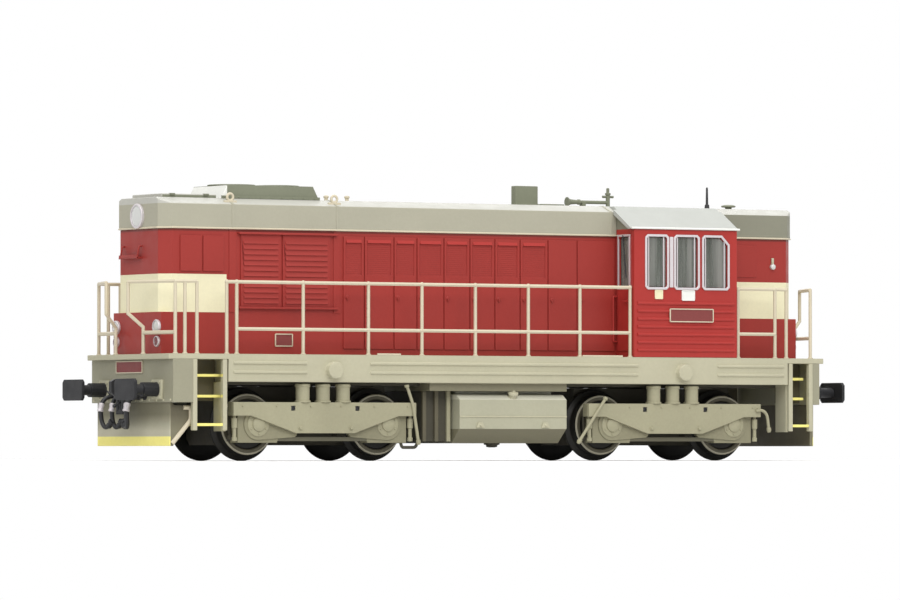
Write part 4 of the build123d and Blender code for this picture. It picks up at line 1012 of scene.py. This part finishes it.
# Blank plates of the near side and the front: the wall's axis and place, spans on it, fill and border
PLATES = {
    "cab_plate_long": (1, NEAR * (CAB_HALF + 0.25), (36.6, 46.35), (26.4, 28.8), PLATE_PAINT, RAIL_PAINT),
    "cab_plate_small": (1, NEAR * CAB_HALF, (33.4, 35.0), (30.75, 32.3), CREAM_PAINT, CREAM_PAINT),
    "cab_plate_middle": (1, NEAR * CAB_HALF, (39.5, 42.25), (30.5, 32.3), WHITE_PAINT, WHITE_PAINT),
    "hood_plate": (1, NEAR * HOOD_HALF, (-46.0, -42.4), (21.2, 23.4), PLATE_PAINT, RAIL_PAINT),
    "headstock_plate": (0, -HEADSTOCK, (-4.1, 5.8), (16.2, 18.3), PLATE_PAINT, RAIL_PAINT),
}


def plates(border=0.2, thick=0.12):
    """Blank plates with a raised border of twice their thickness; none carries lettering."""
    for name, (axis, wall, wide, high, fill, rim) in PLATES.items():
        strips = [(wide, around(z, border)) for z in high] + [(around(place, border), high) for place in wide]
        plate, edge = Piece(), Piece()
        for piece, depth, fields in ((plate, thick, [(wide, high)]), (edge, 2 * thick, strips)):
            for field in fields:
                spans = list(field)
                spans.insert(axis, (wall, wall - depth))
                piece.block(*spans)
        plate.done(name, fill, "body_red", edge=0.03)
        edge.done(f"{name}_border", rim, "frame_beige", edge=0.03)


cab_ribs()
cab_gutters()
side_window_bars()
end_window_frames()
door_fittings()
cab_inside()
plates()


# Handrails, ends and underframe

SIDE_RAILS = ("handrail_left", "handrail_right")
END_RAILS = ("end_rail_front", "end_rail_rear")
POST_FOOT = ((0, 0.5), (0.12, 0.5), (0.18, 0.38), (0.32, 0.34))
POST_KNOB = ((-0.42, 0.16), (-0.3, 0.3), (-0.12, 0.37), (0.12, 0.37), (0.3, 0.3), (0.42, 0.16))


def post_feet(node):
    """Middle of the foot of each post of a handrail."""
    posts = []
    for point in vertices_at(node, DECK):
        near = [post for post in posts if (post[0] - point).length < 1.0]
        if near:
            near[0].append(point)
        else:
            posts.append([point])
    return [sum(post, Vector()) / len(post) for post in posts]


def rail_fittings(rail_radius=0.31):
    """Flanged feet under every post of the handrails, and knobs where a post meets the top rail."""
    feet, knobs = Piece(), Piece()
    for node in SIDE_RAILS + END_RAILS:
        for foot in post_feet(node):
            feet.turned(foot, UP, POST_FOOT, 20)
    for node in SIDE_RAILS:
        for foot in post_feet(node):
            knobs.turned((foot.x, foot.y, where(node)[1].z - rail_radius), UP, POST_KNOB, 16)
    feet.done("handrail_feet", RAIL_PAINT, "frame_beige")
    knobs.done("handrail_knobs", RAIL_PAINT, "frame_beige")


def walkway_strips(spans=((-27.8, -22.8), (17.2, 26.1)), width=0.35, height=0.3):
    """Light strips on the edge of the near walkway."""
    strips = Piece()
    for x in spans:
        strips.block(x, (NEAR * (FRAME_HALF - width), NEAR * FRAME_HALF), (DECK, DECK + height))
    strips.done("walkway_strips", RAIL_PAINT, "frame_beige", edge=0.05)


RIVET = ((0, 0.24), (0.1, 0.22), (0.17, 0.12))


def end_bolts(plate=0.5, spacing=2.8, head=0.2, rivets=12, inset=1.0, rise=0.45):
    """Bolts on the base plates of the buffers and the coupling, and rivets on both headstocks."""
    for end, sign in ENDS.items():
        bolts = Piece()
        for middle in (-BUFFER_Y, 0.0, BUFFER_Y):
            for y in around(middle, spacing):
                for z in around(BUFFER_Z, spacing):
                    bolts.bolt((sign * (HEADSTOCK + plate), y, z), sign * ALONG, head)
        for y in spaced(inset - FRAME_HALF, FRAME_HALF - inset, rivets):
            bolts.turned((sign * HEADSTOCK, y, HEADSTOCK_BOTTOM + rise), sign * ALONG, RIVET, 12)
        bolts.done(f"headstock_bolts_{end}", FRAME_PAINT, "frame_beige")


def step_cheeks(thick=0.4, proud=0.15, insets=(4.5, 0.9)):
    """Cheek plates behind the inner stringers of the corner steps."""
    y = [FRAME_HALF - inset for inset in insets]
    cheeks = Piece()
    for end, sign in ENDS.items():
        low, high = where(f"steps_{end}")
        x = high.x if end == "front" else low.x
        cheeks.block((x - sign * proud, x + sign * thick), y, (low.z - proud, SILL_BOTTOM))
    cheeks.both_sides().done("step_cheeks", FRAME_PAINT, "frame_beige", edge=0.05)


def plough_beads(bead=0.44, gap=0.5, knee=3.2, top_run=1.6, bend=0.7):
    """Beads along the edges of the front plough's wings."""
    low, high = where("plough_front")
    top, back = HEADSTOCK_BOTTOM - gap - bead, high.x - bead
    course = [(back - top_run, top), (back, top), (back, HEADSTOCK_BOTTOM - knee),
              (low.x + bead, low.z + bead)]
    beads = Piece().tube(rounded([(x, high.y, z) for x, z in course], bend), bead)
    beads.both_sides().done("plough_front_beads", RAIL_PAINT, "frame_beige")


def plough_hangers(inset=0.8, thick=0.4, height=1.0):
    """Dark hangers behind the wings of both ploughs."""
    hangers = Piece()
    for end in ENDS:
        low, high = where(f"plough_{end}")
        y = (high.y - inset, high.y - inset - thick)
        hangers.block((low.x + inset, high.x - inset), y, (HEADSTOCK_BOTTOM - height, HEADSTOCK_BOTTOM))
    hangers.both_sides().done("plough_hangers", DARK_PAINT, "underframe_grey", edge=0.05)


# Course of a hose: distance in front of the headstock, drop under the buffers, shift to the middle
HOSE_COURSE = ((0.0, 1.1, 0.0), (1.4, 1.1, 0.0), (2.5, 2.0, 0.0), (2.8, 3.8, 0.0), (2.6, 6.2, 0.1),
               (2.3, 7.2, 1.1), (2.1, 6.3, 2.0))
# Distance of a hose from the middle and how much further than the course it bows out
HOSE_PLACES = {2.7: 1.0, 5.0: 1.4}
HOSE_NECK = ((0, 0.8), (0.25, 0.8), (0.3, 0.6), (1.0, 0.6), (1.1, 0.45))
HOSE_FERRULE = ((0, 0.46), (0.12, 0.56), (0.5, 0.56), (0.6, 0.5), (1.1, 0.5), (1.2, 0.6), (1.5, 0.6),
                (1.6, 0.46))
HOSE_HEAD = ((0, 0.5), (0.15, 0.58), (0.5, 0.58), (0.6, 0.5), (0.95, 0.5), (1.05, 0.68), (1.5, 0.68),
             (1.6, 0.5))
# Ends of a hose's cock: way to the side and rise, from the neck
COCK = ((0.0, 0.3), (0.9, 0.9))


def hose(name, points, radius=0.42):
    """A smooth rubber-black moulding along a course."""
    curve = bpy.data.curves.new(name, "CURVE")
    curve.dimensions = "3D"
    curve.bevel_depth = radius * MM
    curve.bevel_resolution = 4
    curve.use_fill_caps = True
    spline = curve.splines.new("NURBS")
    spline.points.add(len(points) - 1)
    for knot, point in zip(spline.points, points):
        knot.co = (*(point * MM), 1.0)
    spline.order_u = 3
    spline.use_endpoint_u = True
    spline.resolution_u = 10
    curve.materials.append(BLACK_PLASTIC)
    piece = added(name, curve)
    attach(piece, "body")
    return piece


def hoses(ferrule_shift=0.45, head_lap=0.7, cock=0.16):
    """Moulded brake hoses with a neck and cock at the headstock, a bright ferrule and a coupling head."""
    for end, sign in ENDS.items():
        metal, dark, stand_ins = Piece(), Piece(), []
        for side_name, side in SIDES.items():
            for count, (place, bow) in enumerate(HOSE_PLACES.items(), start=1):
                points = [Vector((sign * (HEADSTOCK + bow * reach), side * (place - shift), BUFFER_Z - drop))
                          for reach, drop, shift in HOSE_COURSE]
                stand_ins.append(hose(f"brake_hose_{end}_{side_name}_{count}", points))
                dark.turned(points[0], sign * ALONG, HOSE_NECK, 20)
                dark.tube([points[1] + Vector((0, side * way, rise)) for way, rise in COCK], cock, 8)
                down = (points[3] - points[2]).normalized()
                metal.turned(points[2] + down * ferrule_shift, down, HOSE_FERRULE, 20)
                out = (points[-1] - points[-2]).normalized()
                dark.turned(points[-1] - out * head_lap, out, HOSE_HEAD, 20)
        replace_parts(stand_ins[0], f"brake_hoses_{end}")
        metal.done(f"brake_hose_ferrules_{end}", SILVER_METAL, "window_metal")
        dark.done(f"brake_hose_couplings_{end}", BLACK_PLASTIC, "black_plastic")


HANDLE_KNOB = ((-0.2, 0.2), (0, 0.36), (0.3, 0.36), (0.5, 0.18))


# One turn of the thread and the spindle's ends: distance along the spindle and radius
THREAD_TURN = ((0.35, 0.4), (0.52, 0.28))
SPINDLE_ENDS = ((0.0, 0.3), (3.6, 0.3))
# Swing handle: way out from the spindle and drop under the buffers, at its start and at its knob
SWING_HANDLE = ((0.0, 2.1), (1.3, 2.9))


def coupling_screws(reach=2.3, drop=3.9, turns=9, pitch=0.34, handle=0.17, handle_y=-0.1, tilt=-0.6):
    """Threaded spindle with its swing handle between the links of each coupling."""
    thread = [(along + pitch * turn, radius) for turn in range(turns) for along, radius in THREAD_TURN]
    for end, sign in ENDS.items():
        x = sign * (HEADSTOCK + reach)
        start, knob = ((x + sign * way, handle_y, BUFFER_Z - low) for way, low in SWING_HANDLE)
        screw = Piece().turned((x, 0, BUFFER_Z - drop), UP, (SPINDLE_ENDS[0], *thread, SPINDLE_ENDS[1]), 20)
        screw.tube([start, knob], handle, 8)
        screw.turned(knob, (sign, 0, tilt), HANDLE_KNOB, 16)
        screw.done(f"coupling_screw_{end}", BLACK_PLASTIC, "black_plastic")


TANK_FILLER = ((0, 0.75), (0.8, 0.75), (0.85, 1.0), (1.3, 1.0), (1.45, 0.8), (1.45, 0.35), (1.7, 0.3))
TANK_DRAIN = ((0, 1.5), (0.25, 1.5), (0.35, 1.1), (0.7, 1.0), (0.8, 0.5))


TANK_BRACKET = ((-0.9, 6.2), (0.9, 6.2), (0.45, 7.2), (-0.45, 7.2))


def tank_fittings(seam_y=(-0.1, 0.12), seam_z=(8.15, 8.4), insets=(4.45, 4.8), thick=0.3, bolt_z=6.6,
                  head=0.22, filler=(11.9, -0.8, 11.7), lean=0.5):
    """Weld seams of the fuel tank, and brackets and a leaning filler on its near side."""
    fittings = Piece()
    fittings.block((TANK_LOW.x, TANK_HIGH.x), [TANK_HIGH.y + y for y in seam_y], seam_z).both_sides()
    inner, outer = (NEAR * (TANK_HIGH.y + out) for out in (0.0, thick))
    for x in (TANK_LOW.x + insets[0], TANK_HIGH.x - insets[1]):
        fittings.slab([(x + way, z) for way, z in TANK_BRACKET], (inner, outer))
        fittings.bolt((x, outer, bolt_z), NEAR * ACROSS, head)
    along, out, z = filler
    fittings.turned((TANK_LOW.x + along, NEAR * (TANK_HIGH.y + out), z), (0, NEAR * lean, 1), TANK_FILLER, 28)
    fittings.done("fuel_tank_fittings", FRAME_PAINT, "frame_beige", edge=0.05)


def tank_drain(x_inset=10.4, y=9.0):
    """Drain plug under the fuel tank."""
    drain = Piece().turned((TANK_LOW.x + x_inset, NEAR * y, TANK_LOW.z), -UP, TANK_DRAIN, 28)
    drain.done("fuel_tank_drain", DARK_PAINT, "underframe_grey")


rail_fittings()
walkway_strips()
end_bolts()
step_cheeks()
plough_beads()
plough_hangers()
hoses()
coupling_screws()
tank_fittings()
tank_drain()


# Bogies and wheels

SIDE_TOP = 10.8
SIDE_FACE = 14.8
BOX_FACE = 13.6
BUSH = ((-0.6, 0.43), (0.1, 0.43), (0.12, 0.28), (0.0, 0.25), (0.0, 0.05))
AXLE_COVER = ((0, 2.25), (0.36, 2.25), (0.44, 2.1), (0.46, 1.35), (0.7, 1.28), (0.86, 0.95), (0.92, 0.2))
DAMPER = ((0, 0.3), (0.5, 0.3), (0.55, 0.55), (2.3, 0.55), (2.4, 0.36), (4.0, 0.36), (4.1, 0.5), (4.7, 0.5),
          (4.8, 0.3))
HANGER_PIN = ((0, 0.6), (0.9, 0.6), (1.0, 0.4))
PIPE_NOZZLE = ((0, 0.42), (0.5, 0.46), (0.9, 0.3))
PIPE_CLAMP = ((0, 0.45), (0.4, 0.45), (0.5, 0.3))


def axles(end):
    """Middles of the two axles of a bogie."""
    return [centre for centre in WHEELSETS.values() if centre.x * ENDS[end] > 0]


def on_bogie(piece, end, name, look, slot, edge=0.0):
    """Finish a piece that rides on one of the bogies."""
    piece.done(f"bogie_{end}_{name}", look, slot, f"bogie_{end}", edge)


def spring_guards(end, places=(-4.3, 0.0, 4.3), y=13.7, room=0.3):
    """Smooth spring guards with collars over the bogie's side frames."""
    top = SILL_BOTTOM - room - SIDE_TOP
    profile = ((0, 1.5), (0.3, 1.5), (0.38, 1.29), (top - 0.6, 1.29), (top - 0.5, 1.42), (top - 0.15, 1.42),
               (top, 1.29))
    guards = Piece()
    for place in places:
        guards.turned((PIVOTS[end].x + place, y, SIDE_TOP), UP, profile)
    on_bogie(guards.both_sides(), end, "spring_guards", BOGIE_PAINT, "bogie_beige")


def dampers(end, reach=18.75, y=13.7, top=8.4):
    """Upright dampers between the arms of the side frames and the axle boxes."""
    struts = Piece()
    for x in around(PIVOTS[end].x, 2 * reach):
        struts.turned((x, y, top), -UP, DAMPER, 24)
    on_bogie(struts.both_sides(), end, "dampers", BOGIE_PAINT, "bogie_beige")


def brake_hangers(end, reach=4.75, lean=0.2, y=11.2, heights=(9.4, 4.0), pin=(10.8, 4.4)):
    """Hangers before and behind each wheel, with a pin at their feet."""
    hangers = Piece()
    for centre in axles(end):
        for step in ENDS.values():
            head = centre.x + step * reach
            foot = head - step * lean
            hangers.tube([(x, y, z) for x, z in zip((head, foot), heights)], 0.32)
            hangers.turned((foot, *pin), ACROSS, HANGER_PIN, 20)
    on_bogie(hangers.both_sides(), end, "brake_hangers", DARK_PAINT, "underframe_grey")


def axle_covers(end, bolts=6, bolt_circle=1.75, step=0.44, head=0.17):
    """Domed axle-box covers with a ring of bolts."""
    half_pitch = math.pi / bolts
    first = Vector((math.cos(half_pitch), 0, math.sin(half_pitch)))
    covers = Piece()
    for centre in axles(end):
        middle = Vector((centre.x, BOX_FACE, centre.z))
        covers.turned(middle, ACROSS, AXLE_COVER, 40)
        for spot in circle(middle + step * ACROSS, ACROSS, first, bolt_circle, bolts):
            covers.bolt(spot, ACROSS, head)
    on_bogie(covers.both_sides(), end, "axle_covers", BOGIE_PAINT, "bogie_beige")


def axle_arms(end, boss=2.95, tip=0.8, reach=7.5, drop=1.6, depth=(12.7, 13.85), steps=12):
    """Tapered guide arms from the axle boxes to the belly of the side frames."""
    half_turns = [math.pi * (k / steps - 0.5) for k in range(steps + 1)]
    outline = [(-boss * math.cos(t), -boss * math.sin(t)) for t in half_turns]
    outline += [(reach + tip * math.cos(t), tip * math.sin(t) - drop) for t in half_turns]
    arms = Piece()
    for centre in axles(end):
        inward = math.copysign(1.0, PIVOTS[end].x - centre.x)
        arms.slab([(centre.x + inward * along, centre.z + up) for along, up in outline], depth)
    # The arms wear the bogie beige darkened as painted shade.
    on_bogie(arms.both_sides(), end, "axle_arms", AXLE_ARM_SHADE_PAINT, "bogie_beige", edge=0.1)


# Bolts on a side frame: height, size of the head and distances from the bogie's pivot
SIDE_BOLTS = ((10.1, 0.16, (3.2, 10.4, 17.6)), (6.1, 0.34, (5.4,)))


def frame_plugs(end, pocket=6.85, pocket_z=9.7, inset=0.25):
    """Dark bushes in the pockets of the side frames, and bolts along their edges."""
    middle = PIVOTS[end].x
    bushes, bolts = Piece(), Piece()
    for x in around(middle, 2 * pocket):
        bushes.turned((x, SIDE_FACE - inset, pocket_z), ACROSS, BUSH, 20)
    for z, head, distances in SIDE_BOLTS:
        for distance in distances:
            for x in around(middle, 2 * distance):
                bolts.bolt((x, SIDE_FACE, z), ACROSS, head)
    on_bogie(bushes.both_sides(), end, "bushes", BLACK_PLASTIC, "black_plastic")
    on_bogie(bolts.both_sides(), end, "frame_bolts", BOGIE_PAINT, "bogie_beige")


# Pipes at the bogies' ends and the guard irons: way from the pivot and height
PIPES = {
    "front": (((17.25, 14.0), (18.6, 10.6), (19.8, 3.5)),),
    "rear": (((-15.9, 11.8), (-21.8, 3.7)), ((18.6, 9.7), (20.7, 9.5), (21.2, 5.9))),
}
GUARD_IRON = ((17.0, 3.5), (17.3, 2.5), (20.2, 2.5), (20.6, 3.2))


def sand_pipes(end, radius=0.3, gap=0.22, bend=1.5):
    """Sand pipes in front of the side frames' ends, with clamps and nozzles."""
    pipes = Piece()
    for course in PIPES[end]:
        route = [Vector((PIVOTS[end].x + way, SIDE_FACE + gap, z)) for way, z in course]
        down = (route[-1] - route[-2]).normalized()
        pipes.tube(rounded(route, bend), radius, 12)
        pipes.turned(route[-1] - down * 0.4, down, PIPE_NOZZLE, 16)
        pipes.turned(route[0] - down * 0.1, down, PIPE_CLAMP, 16)
    on_bogie(pipes.both_sides(), end, "sand_pipes", BOGIE_PAINT, "bogie_beige")


def guard_irons(end="front", y=13.2, radius=0.3, bend=0.4):
    """Dark guard irons over the rail at the inner end of the front bogie."""
    route = [(PIVOTS[end].x + way, y, z) for way, z in GUARD_IRON]
    irons = Piece().tube(rounded(route, bend), radius)
    on_bogie(irons.both_sides(), end, "guard_irons", DARK_PAINT, "underframe_grey")


# Profile of a wheel: distance from the middle of the axle, radius
TYRE = ((7.2, 4.4), (7.2, 6.4), (7.3, 6.65), (7.5, 6.75), (7.7, 6.62), (7.9, 6.0), (8.1, 5.78), (8.4, 5.73),
        (9.85, 5.64), (10.0, 5.5), (10.0, 4.75), (9.9, 4.6), (9.6, 4.4))
WHEEL_DISC = ((7.25, 0.9), (7.25, 4.5), (9.55, 4.5), (9.4, 4.1), (9.3, 2.6), (9.5, 2.15), (9.95, 2.0),
              (10.05, 1.85), (10.05, 0.95), (9.8, 0.85), (9.8, 0.1))
AXLE = ((-7.3, 1.0), (7.3, 1.0))


def wheels(bolts=8, bolt_circle=3.35, bolt_face=9.33, head=0.2):
    """Smooth tyres, dished discs with hub and axle for each wheelset."""
    for name, centre in WHEELSETS.items():
        middle = Vector((centre.x, 0, centre.z))
        tyres = Piece().turned(middle, ACROSS, TYRE, 72).both_sides()
        discs = Piece().turned(middle, ACROSS, WHEEL_DISC, 72)
        for spot in circle(middle + bolt_face * ACROSS, ACROSS, ALONG, bolt_circle, bolts):
            discs.bolt(spot, ACROSS, head)
        discs.both_sides().turned(middle, ACROSS, AXLE, 24)
        metal = tyre_metal(f"{name}_tyre_metal", centre)
        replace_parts(tyres.done(f"{name}_tyres", metal, "wheel_steel", name), name)
        discs.done(f"{name}_discs", DISC_PAINT, "wheel_steel", name)


def chassis_rails(room=0.55, half=(6.0, 11.2), gap=0.3):
    """Dark longitudinal beams of the chassis over the bogies."""
    spans = ((where("steps_front")[1].x + gap, where("equipment_box")[0].x),
             (TANK_HIGH.x, where("steps_rear")[0].x - gap))
    rails = Piece()
    for x in spans:
        rails.block(x, half, (SILL_BOTTOM - room, SILL_BOTTOM))
    rails.both_sides().done("chassis_rails", DARK_PAINT, "underframe_grey", edge=0.06)


chassis_rails()
guard_irons()
for end in ENDS:
    spring_guards(end)
    dampers(end)
    brake_hangers(end)
    axle_covers(end)
    axle_arms(end)
    frame_plugs(end)
    sand_pipes(end)
wheels()


# Light, floor, background and camera, in metres

# Softboxes: place, width and depth, power
SOFTBOXES = {
    "softbox_top": ((-0.05, -0.12, 0.75), (1.1, 0.7), 4.7),
    "softbox_side": ((-0.25, -0.95, 0.7), (1.0, 0.6), 8.0),
    "softbox_nose": ((-1.05, -0.35, 0.6), (0.6, 0.5), 2.2),
    "softbox_back": ((0.5, 0.9, 0.6), (1.0, 0.6), 3.0),
}


def facing(way):
    """Turn of a lamp or camera that looks along a way."""
    return way.to_track_quat("-Z", "Y").to_euler()


def softboxes(target=(0, 0, 0.02)):
    """Area lamps that look at the model."""
    for name, (place, size, power) in SOFTBOXES.items():
        light = bpy.data.lights.new(name, "AREA")
        light.shape = "RECTANGLE"
        light.size, light.size_y = size
        light.energy = power
        box = added(name, light)
        box.location = place
        box.rotation_euler = facing(Vector(target) - Vector(place))


def white_room(fill_strength=0.36):
    """White to the camera, in mirrors and through glass, and a softer fill for everything else."""
    world = bpy.data.worlds.new("white_room")
    bpy.context.scene.world = world
    world.use_nodes = True
    nodes, links = world.node_tree.nodes, world.node_tree.links
    nodes.clear()
    path = nodes.new("ShaderNodeLightPath")
    seen = path.outputs["Is Camera Ray"]
    for ray in ("Is Transmission Ray", "Is Glossy Ray"):
        either = nodes.new("ShaderNodeMath")
        either.operation = "MAXIMUM"
        links.new(seen, either.inputs[0])
        links.new(path.outputs[ray], either.inputs[1])
        seen = either.outputs[0]
    blend = nodes.new("ShaderNodeMixShader")
    links.new(seen, blend.inputs[0])
    for socket, strength in ((1, fill_strength), (2, 1.0)):
        light = nodes.new("ShaderNodeBackground")
        light.inputs["Color"].default_value = (1.0, 1.0, 1.0, 1.0)
        light.inputs["Strength"].default_value = strength
        links.new(light.outputs[0], blend.inputs[socket])
    links.new(blend.outputs[0], nodes.new("ShaderNodeOutputWorld").inputs["Surface"])


def table_top(radius=0.3, sides=96):
    """A round white table that takes the model's shadow and fades into the background."""
    mesh = bpy.data.meshes.new("table_top")
    mesh.from_pydata(circle(Vector(), UP, ALONG, radius, sides), [], [tuple(range(sides))])
    table = added("table_top", mesh)
    wear(table, paint("table_white", TABLE_WHITE, 0.8, tone=0.004, grain=0.0))


def camera(place=(-0.68086, -1.11495, 0.0020), aim=(0.51967, 0.85437, 0.021725), lens=276.4):
    """The photograph's own view, found by fitting the model's known lengths."""
    data = bpy.data.cameras.new("camera")
    data.sensor_width = 36.0
    data.lens = lens
    data.clip_end = 100.0
    view = added("camera", data)
    view.location = place
    view.rotation_euler = facing(Vector(aim))
    bpy.context.scene.camera = view
    bpy.context.scene.view_settings.view_transform = "Standard"


softboxes()
white_room()
table_top()
camera()
